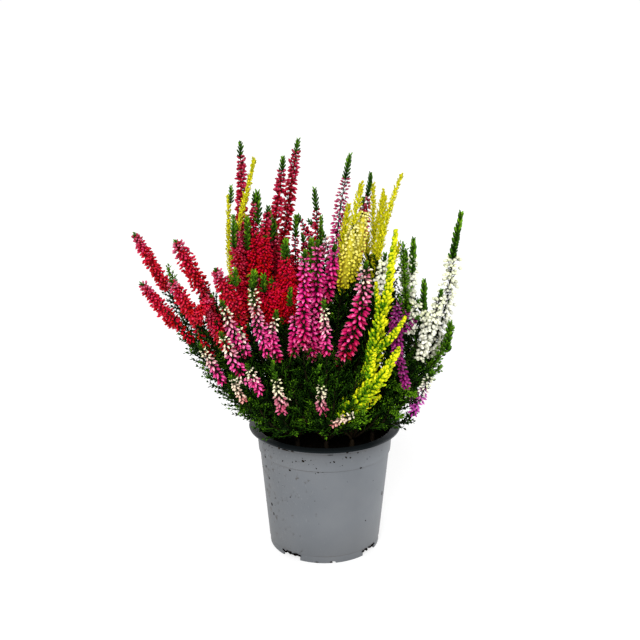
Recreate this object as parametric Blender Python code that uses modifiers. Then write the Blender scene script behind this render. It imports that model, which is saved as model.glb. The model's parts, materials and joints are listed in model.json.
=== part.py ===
"""Potted heather: mixed heathers in bud, rooted in peat in a round nursery pot.

Metres, +Z up. The origin is the middle of the pot's underside, and -Y is the front.
Lengths in the tables and functions below are millimetres until a mesh is made.
"""
import math
import random
from collections import namedtuple

import bmesh
import bpy
import numpy as np
from mathutils import Vector

MM = 0.001
GAP = 0.4                  # between a leafy stem's end and the spray seated on it
PROUD = 1.6                # straight stub on either side of that seat

# Pot: thin moulded plastic, turned
POT_HEIGHT = 92.0
RIM_R = 55.0               # outside of the rolled rim
RIM_DEPTH = 4.6
WALL = 1.2
WALL_TOP_R = 48.9          # outside of the wall under the rim
COLLAR_Z = 77.0            # a small step all round below the rim
COLLAR_R = 47.6
COLLAR_STEP = 0.8
BASE_R = 40.3
FOOT_HEIGHT = 5.2
FLOOR_Z = 5.4              # underside of the raised floor
FOOT_WALL = 1.8
GATE_R = 6.0               # the moulding's boss in the middle of the floor, level with the foot
POT_SIDES = 32
NOTCHES = 4                # wide notches in the foot
NOTCH_TURN = math.radians(53.5)
NOTCH_WIDE = 15.0
NOTCH_HIGH = 4.2
NICK_R = 1.7               # small round nicks between them
NICK_TURN = math.radians(9)
DRAINS = 8
DRAIN_R = 3.2
DRAIN_RING = 27.0

# Soil: peat, a little below the rim
SOIL_Z = 83.0
SOIL_CROWN = 2.0
SOIL_CLEAR = 0.3
SOIL_SIDES = 20
TRUNK_R = 3.0
TRUNK_FOOT = 60.0
HOLE_CLEAR = 0.3
MOUND_R = 7.0              # short leafy shoots crowd round each trunk, out to here
MOUND_IN = 4.6
MOUND_FOOT = 87.5
MOUND_TOP = 111.0
MOUND_WHORLS = 2
MOUND_TAPER = 5.0          # below its top, where it starts to close

# Growth
EYE = np.array((-3.4, -614.2, 329.7))   # where the plant is looked at from
SAMPLE = 5.0               # between points along a stem
WOOD_R = 1.2               # bare stem
LEAF_R = 4.2               # out to the leaf tips
SHOOT_R = 3.2              # and on a shoot
FULL = 30.0                # along a stem, where the leaves reach that far
FORK_Z = 92.0              # the highest stem leaves its trunk here
BARE = 20.0                # bare stretch of a stem, inside the mound
LEAF_PITCH = 20.0          # one whorl of leaves to the next
LEAF_RISE = 0.62           # how far up a whorl its leaf tips are, as a share of its pitch
SHOOT_PITCH = 11.0
FLORET_PITCH = 8.6         # one whorl of florets to the next
FLORET_DROOP = 0.3         # how far up its floret tips are: they hang
FAR_PITCH = 11.0           # and on the sprays behind
FLORET_IN = 0.52           # a spike's core as a share of its width
FULLER = 1.12              # florets larger than life
SEED = 11

# How the strands are bent clear of each other
CLEAR = 0.9                # kept between two plants' pieces
ROUNDS = 220
FREE_ROUNDS = 40           # at the end, when nothing draws a point back to its place any more
PULL_BACK = 0.985
STRIDE = 1.5               # the most that a point moves in a round
INWARD = 1.6               # they move apart more front to back than across
RIM_CLEAR = 0.6            # over the pot's rim and the soil

# Where each plant is rooted
PLANTS = {
    "red_left": (-26, -8),
    "red_back": (-9, 12),
    "pink_left": (-19, -27),
    "pink_front": (1, -31),
    "pink_back": (6, -9),
    "yellow_front": (19, -28),
    "yellow_back": (16, 12),
    "white_right": (33, 2),
    "purple_right": (34, -15),
    "red_far": (-24, 27),
    "pink_far": (4, 33),
}

# A spray is a leafy stem's flowered end. Across and up are read on the upright plane through the
# pot's axis, as seen from EYE, and depth is how far behind that plane a point lies.
Spray = namedtuple("Spray", "name plant foot tip via width depth spikes")


def spray(name, plant, foot, tip, width, depth, via=(), spikes=()):
    return Spray(name, plant, foot, tip, via, width, depth, spikes)


# Each spike of a spray beside the main one: (where on it, 0 to 1), tip, width
SPRAYS = (
    spray("spray_red_01", "red_left", (-110, 192), (-132, 231), 8.5, (-6, -12)),
    spray("spray_red_02", "red_left", (-84, 188), (-104, 226), 10.5, (-26, -33)),
    spray("spray_red_03", "red_left", (-104, 163), (-129, 196), 9.0, (-20, -28)),
    spray("spray_red_04", "red_left", (-89, 165), (-108, 198), 9.5, (-40, -50),
          spikes=((0.05, (-79, 187), 8.0),)),
    spray("spray_red_05", "red_left", (-58, 166), (-77, 206), 11.0, (-38, -47)),
    spray("spray_red_06", "red_back", (-57, 204), (-57, 293), 8.5, (8, 18)),
    spray("spray_red_07", "red_back", (-40, 210), (-28, 283), 8.5, (-2, 6), via=((-32, 254),)),
    spray("spray_red_08", "red_back", (-30, 218), (-18, 295), 8.5, (18, 30),
          via=((-25, 250), (-22, 271))),
    spray("spray_red_09", "red_back", (-6, 212), (-7, 262), 7.0, (4, 8),
          spikes=((0.05, (-19, 244), 6.0), (0.3, (-12, 240), 5.0))),
    spray("spray_red_10", "yellow_back", (24, 214), (31, 272), 7.5, (24, 31),
          spikes=((0.2, (26, 256), 6.0),)),
    spray("spray_red_11", "red_left", (-44, 202), (-48, 259), 8.0, (-14, -17),
          spikes=((0.1, (-39, 250), 7.5),)),
    spray("spray_red_12", "red_left", (-29, 166), (-29, 223), 10.5, (-32, -40),
          spikes=((0.05, (-45, 194), 7.0), (0.1, (-38, 199), 7.0))),
    spray("spray_pink_01", "pink_back", (4, 190), (17, 285), 10.0, (-8, -2),
          via=((9, 236), (12, 257))),
    spray("spray_pink_02", "pink_front", (-15, 147), (-14, 219), 8.5, (-50, -57)),
    spray("spray_pink_03", "pink_back", (-6, 146), (-5, 226), 9.0, (-33, -38)),
    spray("spray_pink_04", "pink_back", (1, 182), (7, 223), 8.5, (-24, -26)),
    spray("spray_pink_05", "pink_front", (2, 144), (-1, 183), 7.5, (-56, -64)),
    spray("spray_pink_06", "pink_front", (13, 140), (29, 211), 11.0, (-42, -48),
          via=((25, 176),)),
    spray("spray_pink_07", "pink_front", (-38, 144), (-52, 198), 8.5, (-50, -58),
          spikes=((0.05, (-34, 176), 7.0),)),
    spray("spray_pink_08", "pink_left", (-62, 148), (-73, 183), 8.5, (-50, -60)),
    spray("spray_pink_09", "pink_left", (-60, 125), (-74, 160), 9.0, (-54, -64)),
    spray("spray_pink_10", "pink_left", (-73, 122), (-90, 152), 7.5, (-38, -46)),
    spray("spray_pink_11", "pink_left", (-47, 114), (-56, 136), 8.0, (-54, -62),
          spikes=((0.05, (-69, 127), 6.0),)),
    spray("spray_pink_12", "pink_left", (-32, 101), (-36, 130), 8.0, (-50, -59),
          spikes=((0.05, (-23, 116), 6.0),)),
    spray("spray_pink_13", "pink_front", (-2, 99), (-3, 126), 8.0, (-48, -58)),
    spray("spray_yellow_01", "red_far", (-65, 192), (-66, 256), 5.0, (-10, -8),
          spikes=((0.08, (-48, 281), 5.0),)),
    spray("spray_yellow_02", "yellow_back", (11, 185), (25, 265), 8.0, (-22, -16),
          via=((19, 233),)),
    spray("spray_yellow_03", "yellow_back", (35, 206), (33, 264), 5.5, (6, 11),
          spikes=((0.25, (40, 260), 4.5),)),
    spray("spray_yellow_04", "yellow_back", (37, 211), (52, 271), 6.0, (-14, -8),
          via=((43, 243),)),
    spray("spray_yellow_05", "yellow_front", (20, 93), (49, 232), 9.0, (-38, -50),
          via=((36, 139), (42, 175)), spikes=((0.35, (57, 171), 6.0), (0.55, (36, 196), 5.0))),
    spray("spray_yellow_06", "yellow_front", (15, 87), (53, 147), 10.0, (-36, -64),
          via=((33, 118),), spikes=((0.05, (40, 112), 7.0), (0.45, (36, 146), 6.5))),
    spray("spray_white_01", "white_right", (77, 138), (90, 226), 10.5, (-8, -6), via=((86, 180),)),
    spray("spray_white_02", "white_right", (67, 140), (82, 191), 7.5, (-28, -35),
          spikes=((0.15, (71, 181), 6.0),)),
    spray("spray_white_03", "white_right", (59, 180), (61, 226), 7.0, (-12, -12)),
    spray("spray_white_04", "pink_back", (37, 186), (42, 217), 7.0, (-26, -29)),
    spray("spray_purple_02", "purple_right", (64, 98), (78, 132), 8.0, (-30, -40),
          spikes=((0.05, (54, 121), 6.5),)),
    spray("spray_purple_01", "purple_right", (49, 148), (53, 185), 6.5, (-44, -52),
          spikes=((0.1, (60, 178), 6.0), (0.05, (67, 172), 5.0))),
)

# Behind, where the front sprays hide them: rings of sprays with three spikes each
FarRing = namedtuple("FarRing", "turns foot_r foot_z tip_r tip_z")
FAR_RINGS = (
    FarRing((14, 50, 88, 126, 163), 60, 120, 84, 168),
    FarRing((38, 74, 108, 146), 36, 166, 54, 226),
)
FAR_KINDS = (
    ("white", "white_right"), ("yellow", "yellow_back"), ("pink", "pink_far"),
    ("purple", "pink_far"), ("red", "red_far"),
    ("yellow", "yellow_back"), ("pink", "pink_far"), ("red", "red_far"), ("red", "red_far"),
)
FAR_FAN = 17.0             # from a far spray's middle spike to its neighbour's tip
FAR_WIDTH = 8.5

# Leafy shoots without flowers: plant, start and tip as across, up and depth
SHOOTS = (
    ("pink_left", (-50, 112, -30), (-64, 95, -34)),
    ("pink_left", (-40, 100, -38), (-50, 90, -44)),
    ("pink_front", (-10, 104, -40), (-18, 90, -44)),
    ("pink_front", (8, 108, -40), (4, 92, -46)),
    ("purple_right", (56, 118, -34), (66, 112, -46)),
    ("purple_right", (46, 104, -30), (55, 96, -42)),
    ("white_right", (76, 140, -10), (91, 164, -14)),
    ("white_right", (68, 116, 2), (84, 134, 6)),
    ("white_right", (48, 196, -12), (54, 224, -16)),
    ("yellow_back", (20, 205, 10), (9, 228, 12)),
    ("pink_back", (-14, 190, -12), (-16, 216, -20)),
    ("red_left", (-44, 176, -24), (-51, 203, -30)),
    ("red_left", (-66, 168, -18), (-66, 200, -22)),
    ("red_left", (-88, 172, -8), (-110, 207, 2)),
    ("red_left", (-56, 128, -22), (-82, 142, -26)),
    ("yellow_front", (24, 120, -46), (28, 104, -58)),
)

COLOURS = {
    "pot": ((0.215, 0.232, 0.255), 0.55),
    "soil": ((0.012, 0.010, 0.008), 0.95),
    "plant": ((0.035, 0.110, 0.020), 0.6),
    "red": ((0.520, 0.010, 0.045), 0.5),
    "pink": ((0.750, 0.080, 0.260), 0.5),
    "yellow": ((0.620, 0.560, 0.030), 0.55),
    "white": ((0.850, 0.850, 0.680), 0.5),
    "purple": ((0.330, 0.030, 0.270), 0.5),
}


def material(kind):
    """The material of one colour, made the first time it is asked for."""
    found = bpy.data.materials.get(kind)
    if found:
        return found
    colour, roughness = COLOURS[kind]
    made = bpy.data.materials.new(kind)
    made.use_nodes = True
    shader = made.node_tree.nodes["Principled BSDF"]
    shader.inputs["Base Color"].default_value = (*colour, 1)
    shader.inputs["Roughness"].default_value = roughness
    return made


def collection(name):
    made = bpy.data.collections.new(name)
    bpy.context.scene.collection.children.link(made)
    return made


def settled(obj):
    """A new mesh of what the object's modifiers make."""
    bpy.context.view_layer.update()
    graph = bpy.context.evaluated_depsgraph_get()
    return bpy.data.meshes.new_from_object(obj.evaluated_get(graph))


def remove_object(obj):
    bpy.data.objects.remove(obj, do_unlink=True)


def apply_modifiers(obj):
    mesh = settled(obj)
    obj.modifiers.clear()
    obj.data = mesh


# Where things are


def seen(across, up, depth):
    """The point at a depth behind the upright plane that shows at (across, up) from EYE."""
    on_plane = np.array((across, 0.0, up))
    return EYE + (on_plane - EYE) * (depth - EYE[1]) / -EYE[1]


def soil_height(radius):
    """The peat's surface, a little higher in the middle."""
    return SOIL_Z + SOIL_CROWN * (1 - min(radius / WALL_TOP_R, 1) ** 2)


def along(points):
    """How far along a line each of its points lies."""
    steps = np.linalg.norm(np.diff(points, axis=0), axis=1)
    return np.concatenate(((0.0,), np.cumsum(steps)))


def at(points, distances):
    """Points of a line at the given distances along it."""
    line = along(points)
    return np.stack([np.interp(distances, line, points[:, axis]) for axis in range(3)], axis=1)


def resampled(points, step):
    length = along(points)[-1]
    count = max(2, round(length / step))
    return at(points, np.linspace(0, length, count + 1))


def smooth_line(corners):
    """A Catmull-Rom curve through a few points."""
    corners = [np.array(corner, float) for corner in corners]
    padded = [2 * corners[0] - corners[1], *corners, 2 * corners[-1] - corners[-2]]
    line = [corners[0]]
    for before, start, end, after in zip(padded, padded[1:], padded[2:], padded[3:]):
        for step in range(1, 9):
            t = step / 8
            line.append(0.5 * (2 * start + (end - before) * t
                               + (2 * before - 5 * start + 4 * end - after) * t ** 2
                               + (3 * start - before - 3 * end + after) * t ** 3))
    return np.array(line)


def bend(start, start_way, end, end_way):
    """A curve that leaves start and reaches end in the given directions."""
    pull = 0.42 * np.linalg.norm(end - start)
    near = start + start_way * pull
    far = end - end_way * pull
    line = []
    for step in range(13):
        t = step / 12
        line.append((1 - t) ** 3 * start + 3 * (1 - t) ** 2 * t * near
                    + 3 * (1 - t) * t ** 2 * far + t ** 3 * end)
    return np.array(line)


# Strands: the axes of stems, spikes and shoots


class Strand:
    """An axis with the width kept free round it, and what it grows from."""

    def __init__(self, name, plant, points, radii, parent=None, joined=0, foot=0.0, green=0):
        self.name = name
        self.plant = plant
        self.points = points
        self.radii = radii
        self.parent = parent       # the strand that it grows from
        self.joined = joined       # and the point of that strand
        self.foot = foot           # how far along the flowers start
        self.green = green         # how many of its points are the leafy stem's
        self.is_mound = False


def spike_radius(share, width):
    """Half a spike's width at a share of its length: full low down, slim at the tip."""
    shape = np.interp(share, (0, 0.12, 0.6, 0.85, 1), (0.62, 0.95, 1, 0.68, 0.35))
    return FULLER * width / 2 * shape


def leaf_radius(distance, length):
    """Out to the leaf tips of a stem: bare at the trunk, full higher up, slim under the spray."""
    rise = min(FULL, length / 2)
    return np.interp(distance, (BARE / 2, rise, length - 12, length), (WOOD_R, LEAF_R, LEAF_R, 2.4))


def way(start, end):
    return (end - start) / np.linalg.norm(end - start)


def grow_spray(row, foot, via, tip, number):
    """The strand from a plant's trunk to a spray's tip."""
    x, y = PLANTS[row.plant]
    start = np.array((x, y, FORK_Z - 1.6 * (number % 4)), float)
    spike = smooth_line([foot, *via, tip])
    out = np.array((foot[0] - x, foot[1] - y, 0))
    up_way = np.array((0, 0, 1.0)) + 0.6 * out / (40 + np.linalg.norm(out))
    stem = bend(start, up_way / np.linalg.norm(up_way), foot, way(spike[0], spike[3]))
    stem_length = along(stem)[-1]
    points = resampled(np.concatenate((stem, spike[1:])), SAMPLE)
    line = along(points)
    share = (line - stem_length) / (line[-1] - stem_length)
    radii = np.where(line < stem_length - 2, leaf_radius(line, stem_length),
                     spike_radius(share, row.width))
    green = int(np.sum(line < stem_length - 2))
    return Strand(row.name, row.plant, points, radii, foot=stem_length, green=green)


def grow_side(name, parent, joined, tip, width):
    """A spike or shoot that leaves another strand and turns up to its own tip."""
    start = parent.points[joined]
    forward = way(parent.points[joined - 1], parent.points[joined + 1])
    points = resampled(bend(start, (forward + way(start, tip)) / 2, tip, way(start, tip)), SAMPLE)
    line = along(points)
    return Strand(name, parent.plant, points, spike_radius(line / line[-1], width),
                  parent=parent, joined=joined)


def far_sprays(rng):
    """The sprays behind, as rows with their own feet and tips in space."""
    number = {}
    kinds = iter(FAR_KINDS)
    for ring in FAR_RINGS:
        for turn in ring.turns:
            kind, plant = next(kinds)
            number[kind] = number.get(kind, 0) + 1
            angle = math.radians(turn + rng.uniform(-3, 3))
            rise = rng.uniform(-7, 7)
            foot = (ring.foot_r * math.cos(angle), ring.foot_r * math.sin(angle), ring.foot_z)
            tip = (ring.tip_r * math.cos(angle), ring.tip_r * math.sin(angle), ring.tip_z + rise)
            side = np.array((-math.sin(angle), math.cos(angle), 0))
            spikes = []
            for where, fan, drop in ((0.04, -1, 9), (0.12, 1, 5)):
                spikes.append((where, np.array(tip) + side * fan * FAR_FAN - (0, 0, drop)))
            row = spray(f"spray_far_{kind}_{number[kind]:02d}", plant, None, None, FAR_WIDTH, None)
            yield row, np.array(foot), np.array(tip), spikes


def grow():
    """Every strand of the plants, bent clear of each other."""
    rng = random.Random(SEED)
    strands = []
    number = 0
    for row in SPRAYS:
        depths = np.linspace(row.depth[0], row.depth[1], len(row.via) + 2)
        line = [seen(*place, depth) for place, depth in zip((row.foot, *row.via, row.tip), depths)]
        main = grow_spray(row, line[0], line[1:-1], line[-1], number)
        strands.append(main)
        number += 1
        first = round(main.foot / SAMPLE)
        for where, tip, width in row.spikes:
            joined = first + 1 + round(where * (len(main.points) - 2 - first))
            depth = row.depth[0] + (row.depth[1] - row.depth[0]) * where
            depth += rng.uniform(-9, 3)
            strands.append(grow_side(row.name, main, joined, seen(*tip, depth), width))
    for row, foot, tip, spikes in far_sprays(rng):
        main = grow_spray(row, foot, (), tip, number)
        strands.append(main)
        number += 1
        first = round(main.foot / SAMPLE)
        for where, side_tip in spikes:
            joined = first + 1 + round(where * (len(main.points) - 2 - first))
            strands.append(grow_side(row.name, main, joined, side_tip, FAR_WIDTH))
    strands += grow_shoots(strands)
    bend_clear(strands + [grow_mound(plant) for plant in PLANTS])
    return strands


def grow_mound(plant):
    """What a plant's mound of low leaves takes up."""
    x, y = PLANTS[plant]
    heights = np.arange(MOUND_FOOT, MOUND_TOP, SAMPLE)
    points = np.array([(x, y, height) for height in heights])
    radii = np.where(heights < MOUND_TOP - MOUND_TAPER, MOUND_R, MOUND_IN)
    mound = Strand(f"plant_{plant}", plant, points, radii, green=len(points))
    mound.is_mound = True
    return mound


def grow_shoots(strands):
    """Leafy shoots, each from the nearest stem of its plant."""
    shoots = []
    for plant, start, tip in SHOOTS:
        start, tip = seen(*start), seen(*tip)
        found = None
        for strand in strands:
            if strand.plant != plant or strand.parent is not None:
                continue
            last = max(4, int(strand.foot / SAMPLE) - 1)
            for index in range(3, last):
                distance = np.linalg.norm(strand.points[index] - start)
                if found is None or distance < found[0]:
                    found = (distance, strand, index)
        shoot = grow_side(f"plant_{plant}", found[1], found[2], tip, 2 * SHOOT_R / FULLER)
        shoot.green = len(shoot.points)
        shoots.append(shoot)
    return shoots


def bend_clear(strands):
    """Move the strands' points until no two plants' or sprays' pieces come near each other."""
    sizes = [len(strand.points) for strand in strands]
    starts = np.concatenate(((0,), np.cumsum(sizes)))
    points = np.concatenate([strand.points for strand in strands])
    home = points.copy()
    radii = np.concatenate([strand.radii for strand in strands])
    owner = np.repeat(np.arange(len(strands)), sizes)
    place = np.concatenate([np.arange(size) for size in sizes])
    plants = np.array([list(PLANTS).index(strand.plant) for strand in strands])[owner]
    fixed = np.zeros(len(points), bool)
    low = np.zeros(len(points), bool)
    mound = np.zeros(len(points), bool)
    green = place < np.array([strand.green for strand in strands])[owner]
    links = []
    for number, strand in enumerate(strands):
        start = starts[number]
        if strand.is_mound:
            fixed[start:start + len(strand.points)] = True
            mound[start:start + len(strand.points)] = True
        elif strand.parent is None:
            fixed[start:start + 2] = True
            low[start:start + 5] = True
        else:
            parent = strands.index(strand.parent)
            links.append((start, starts[parent] + strand.joined, number, parent))
    linked = {(number, parent) for _, _, number, parent in links}
    linked |= {(parent, number) for number, parent in linked}
    shared = {}
    for start, on, number, parent in links:
        shared.setdefault(parent, []).append(number)
    for numbers in shared.values():
        linked |= {(one, two) for one in numbers for two in numbers if one != two}

    def near_pairs():
        gaps = np.linalg.norm(points[:, None] - points[None], axis=2)
        need = radii[:, None] + radii[None] + CLEAR
        first, second = np.nonzero(np.triu(gaps < need + 6, 1))
        keep = owner[first] != owner[second]
        fused = (low[first] & low[second]) | mound[first] | mound[second]
        keep &= ~((plants[first] == plants[second]) & green[first] & green[second] & fused)
        first, second = first[keep], second[keep]
        free = np.ones(len(first), bool)
        for index, (one, two) in enumerate(zip(owner[first], owner[second])):
            if (one, two) in linked:
                one_in, two_in = place[first[index]], place[second[index]]
                side = one_in if strands[one].parent is not None else two_in
                if strands[one].parent is not None and strands[two].parent is not None:
                    side = min(one_in, two_in)
                free[index] = side > 2
        return first[free], second[free]

    for turn in range(ROUNDS):
        if turn % 10 == 0:
            first, second = near_pairs()
            need = radii[first] + radii[second] + CLEAR
        apart = points[first] - points[second]
        gap = np.linalg.norm(apart, axis=1)
        push = np.clip(need - gap, 0, None) * 0.5
        shift = apart / np.maximum(gap, 0.01)[:, None] * push[:, None]
        shift[:, 1] *= INWARD
        moved = np.zeros_like(points)
        np.add.at(moved, first, shift)
        np.add.at(moved, second, -shift)
        moved[fixed] = 0
        points += np.clip(moved, -STRIDE, STRIDE)
        drift = points - home
        if turn < ROUNDS - FREE_ROUNDS:
            drift *= PULL_BACK
        eased = drift.copy()
        inner = (place > 0) & (place < np.array(sizes)[owner] - 1)
        inner = np.nonzero(inner & ~fixed)[0]
        eased[inner] = 0.5 * drift[inner] + 0.25 * (drift[inner - 1] + drift[inner + 1])
        points[:] = home + eased
        for start, on, _, _ in links:
            points[start] = points[on]
        lift_clear(points, radii, fixed)
    for number, strand in enumerate(strands):
        strand.points = points[starts[number]:starts[number + 1]].copy()


def lift_clear(points, radii, fixed):
    """Raise what would lie in the soil or the pot's rim."""
    reach = np.hypot(points[:, 0], points[:, 1])
    inside = reach + radii < WALL_TOP_R - 3
    floor = np.where(inside, SOIL_Z + SOIL_CROWN, POT_HEIGHT) + RIM_CLEAR
    beyond = reach - radii > RIM_R + 1
    low = (points[:, 2] < floor + radii) & ~fixed & ~beyond
    points[low, 2] = (floor + radii)[low]


# Solids


def tube(name, centres, radii, turns):
    """A four-sided tube along some centres, with its own radius and turn at each."""
    curve = bpy.data.curves.new(name, "CURVE")
    curve.dimensions = "3D"
    curve.bevel_depth = MM
    curve.bevel_resolution = 0
    curve.use_fill_caps = True
    line = curve.splines.new("POLY")
    line.points.add(len(centres) - 1)
    for point, centre, radius, turn in zip(line.points, centres, radii, turns):
        point.co = (*(centre * MM), 1)
        point.radius = radius
        point.tilt = turn
    guide = bpy.data.objects.new(name, curve)
    bpy.context.scene.collection.objects.link(guide)
    mesh = settled(guide)
    remove_object(guide)
    form = bmesh.new()
    form.from_mesh(mesh)
    bmesh.ops.remove_doubles(form, verts=form.verts, dist=1e-6)
    bmesh.ops.triangulate(form, faces=form.faces, quad_method="SHORT_EDGE")
    form.to_mesh(mesh)
    form.free()
    return bpy.data.objects.new(name, mesh)


def seat_line(points, distance, sign, distances):
    """Centres that start straight from a seat on the strand, GAP / 2 to one side of it."""
    centre = at(points, [distance])[0]
    ahead = way(at(points, [distance - 1.5])[0], at(points, [distance + 1.5])[0])
    stub = [centre + ahead * sign * GAP / 2, centre + ahead * sign * (GAP / 2 + PROUD)]
    return stub, at(points, distances)


def whorls(start, end, droop, count):
    """Distances of the outer and inner rings between two places on a strand."""
    step = (end - start) / count
    rings = []
    for index in range(count):
        rings.append((start + (index + droop) * step, True))
        rings.append((start + (index + 1) * step, False))
    return rings


def pitched(start, end, pitch):
    """How many whorls fit."""
    return max(1, round((end - start) / pitch))


def ring_turns(marks):
    """A turn for each ring, so that one whorl's points stand over the gaps of the next."""
    turn = 0.0
    turns = []
    for outer in marks:
        turns.append(turn + (math.pi / 4 if outer else 0))
        if outer:
            turn += math.pi / 4
    return turns


def flower_spike(strand, width, seated):
    """One spike: whorls of hanging florets up a slim core, and a leafy tip."""
    length = along(strand.points)[-1]
    foot = strand.foot
    tip_length = min(7.0, 0.16 * (length - foot))
    first = foot + (GAP / 2 + PROUD if seated else 3.2)
    last = length - tip_length
    pitch = FAR_PITCH if "far" in strand.name else FLORET_PITCH
    rings = whorls(first, last, FLORET_DROOP, pitched(first, last, pitch))
    distances = [distance for distance, _ in rings]
    radii = []
    marks = []
    for distance, outer in rings:
        radius = spike_radius((distance - foot) / (length - foot), width)
        radii.append(radius if outer else max(WOOD_R, radius * FLORET_IN))
        marks.append(outer)
    distances += [last + 0.45 * tip_length, length]
    radii += [1.9, 0.5]
    marks += [True, False]
    if seated:
        stub, centres = seat_line(strand.points, foot, 1, distances)
        centres = np.concatenate((stub, centres))
        radii = [WOOD_R + 0.1, WOOD_R + 0.3, *radii]
    else:
        centres = at(strand.points, [0.0, 2.6, *distances])
        radii = [WOOD_R - 0.1, WOOD_R, *radii]
    marks = [False, False, *marks]
    return tube(strand.name, centres, radii, ring_turns(marks))


def leafy_stem(strand):
    """A bare woody start, then whorls of leaves up to the seat of the spray."""
    foot = strand.foot
    start = min(BARE, foot * 0.4)
    end = foot - GAP / 2 - PROUD - 0.5
    rings = whorls(start, end, LEAF_RISE, pitched(start, end, LEAF_PITCH))[:-1]
    distances = [0.0, start, *[distance for distance, _ in rings]]
    radii = [WOOD_R + 0.2, WOOD_R]
    marks = [False, False]
    for distance, outer in rings:
        radii.append(leaf_radius(distance, foot) if outer else WOOD_R)
        marks.append(outer)
    stub, centres = seat_line(strand.points, foot, -1, distances)
    centres = np.concatenate((centres, stub[::-1]))
    radii += [WOOD_R, WOOD_R]
    marks += [False, False]
    return tube(strand.name, centres, radii, ring_turns(marks))


def leafy_shoot(strand):
    """A shoot clothed in leaves from its stem to its pointed tip."""
    length = along(strand.points)[-1]
    rings = whorls(3.0, length - 4.0, LEAF_RISE, pitched(3.0, length - 4.0, SHOOT_PITCH))
    distances = [0.0, 3.0, *[distance for distance, _ in rings], length]
    radii = [WOOD_R - 0.3, WOOD_R - 0.2]
    marks = [False, False]
    for distance, outer in rings:
        radii.append(SHOOT_R * (1 - 0.3 * distance / length) if outer else WOOD_R - 0.1)
        marks.append(outer)
    return tube(strand.name, at(strand.points, distances), [*radii, 0.5],
                ring_turns([*marks, True]))


def fuse(name, solids, kind, home):
    """One closed solid of several that run into each other."""
    body, others = solids[0], solids[1:]
    home.objects.link(body)
    if others:
        joining = collection("joining")
        for other in others:
            joining.objects.link(other)
        union = body.modifiers.new("union", "BOOLEAN")
        union.operation = "UNION"
        union.operand_type = "COLLECTION"
        union.collection = joining
        union.solver = "EXACT"
        apply_modifiers(body)
        for other in others:
            remove_object(other)
        bpy.data.collections.remove(joining)
    body.name = name
    body.data.name = name
    body.data.materials.clear()
    body.data.materials.append(material(kind))
    return body


def make_sprays(strands, home):
    widths = {row.name: row.width for row in SPRAYS}
    names = list(dict.fromkeys(s.name for s in strands if s.name.startswith("spray_")))
    for name in names:
        own = [strand for strand in strands if strand.name == name]
        solids = []
        for strand in own:
            seated = strand.parent is None
            width = widths.get(name, FAR_WIDTH) if seated else 2 * strand.radii.max() / FULLER
            solids.append(flower_spike(strand, width, seated))
        kind = name.replace("spray_", "").replace("far_", "").split("_")[0]
        fuse(name, solids, kind, home)


def trunk(plant):
    """A plant's trunk, from its foot in the soil up through its mound of low leaves."""
    x, y = PLANTS[plant]
    rings = whorls(MOUND_FOOT, MOUND_TOP, FLORET_DROOP, MOUND_WHORLS)
    heights = [TRUNK_FOOT, SOIL_Z - 2, MOUND_FOOT, *[height for height, _ in rings]]
    radii = [TRUNK_R] * 3 + [MOUND_R if outer else MOUND_IN for _, outer in rings]
    radii[-1] = WOOD_R
    turns = ring_turns([False] * 3 + [outer for _, outer in rings])
    return tube(plant, np.array([(x, y, height) for height in heights]), radii, turns)


def make_plants(strands, home):
    """Each plant's green part: its trunk, its leafy stems and its leafy shoots."""
    for plant in PLANTS:
        solids = [trunk(plant)]
        for strand in strands:
            if strand.plant != plant:
                continue
            if strand.name.startswith("spray_") and strand.parent is None:
                solids.append(leafy_stem(strand))
            elif strand.name.startswith("plant_"):
                solids.append(leafy_shoot(strand))
        fuse(f"plant_{plant}", solids, "plant", home)


# Pot and soil


def turned(name, profile, sides, kind, home):
    """A solid turned from a profile that runs down its outer side."""
    mesh = bpy.data.meshes.new(name)
    points = [(radius * MM, 0, height * MM) for radius, height in profile]
    mesh.from_pydata(points, [(i, i + 1) for i in range(len(points) - 1)], [])
    body = bpy.data.objects.new(name, mesh)
    home.objects.link(body)
    screw = body.modifiers.new("turn", "SCREW")
    screw.steps = sides
    screw.render_steps = sides
    screw.use_merge_vertices = True
    screw.merge_threshold = 1e-5
    apply_modifiers(body)
    body.data.materials.clear()
    body.data.materials.append(material(kind))
    return body


def wall_radius(height):
    """Outside of the pot's wall: a collar under the rim, then an even taper to the foot."""
    if height >= COLLAR_Z:
        return np.interp(height, (COLLAR_Z, POT_HEIGHT), (COLLAR_R, WALL_TOP_R))
    return np.interp(height, (0, COLLAR_Z), (BASE_R - 0.3, COLLAR_R - COLLAR_STEP))


def pot_profile():
    """From the middle of the inner floor, up, over the rim, down the outside and in."""
    top = POT_HEIGHT
    floor = FLOOR_Z + WALL
    foot_r = wall_radius(0)
    inner_foot = foot_r - FOOT_WALL
    return (
        (0, floor), (wall_radius(floor) - WALL, floor),
        (wall_radius(COLLAR_Z - 1) - WALL, COLLAR_Z - 1.0),
        (COLLAR_R - WALL, COLLAR_Z + 0.4), (WALL_TOP_R - WALL, top - 1.2),
        (WALL_TOP_R - WALL + 0.9, top), (RIM_R - 0.9, top), (RIM_R, top - 0.9),
        (RIM_R - 0.2, top - RIM_DEPTH), (RIM_R - WALL, top - RIM_DEPTH),
        (RIM_R - WALL - 0.2, top - WALL - 0.2), (WALL_TOP_R, top - WALL - 0.2),
        (COLLAR_R, COLLAR_Z), (wall_radius(COLLAR_Z - 0.8), COLLAR_Z - 0.8),
        (wall_radius(FOOT_HEIGHT), FOOT_HEIGHT + 0.5), (foot_r, FOOT_HEIGHT),
        (foot_r, 0.9), (foot_r - 0.7, 0), (inner_foot, 0), (inner_foot - 0.3, FLOOR_Z),
        (GATE_R + 0.6, FLOOR_Z), (GATE_R, 0), (0, 0),
    )


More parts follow.
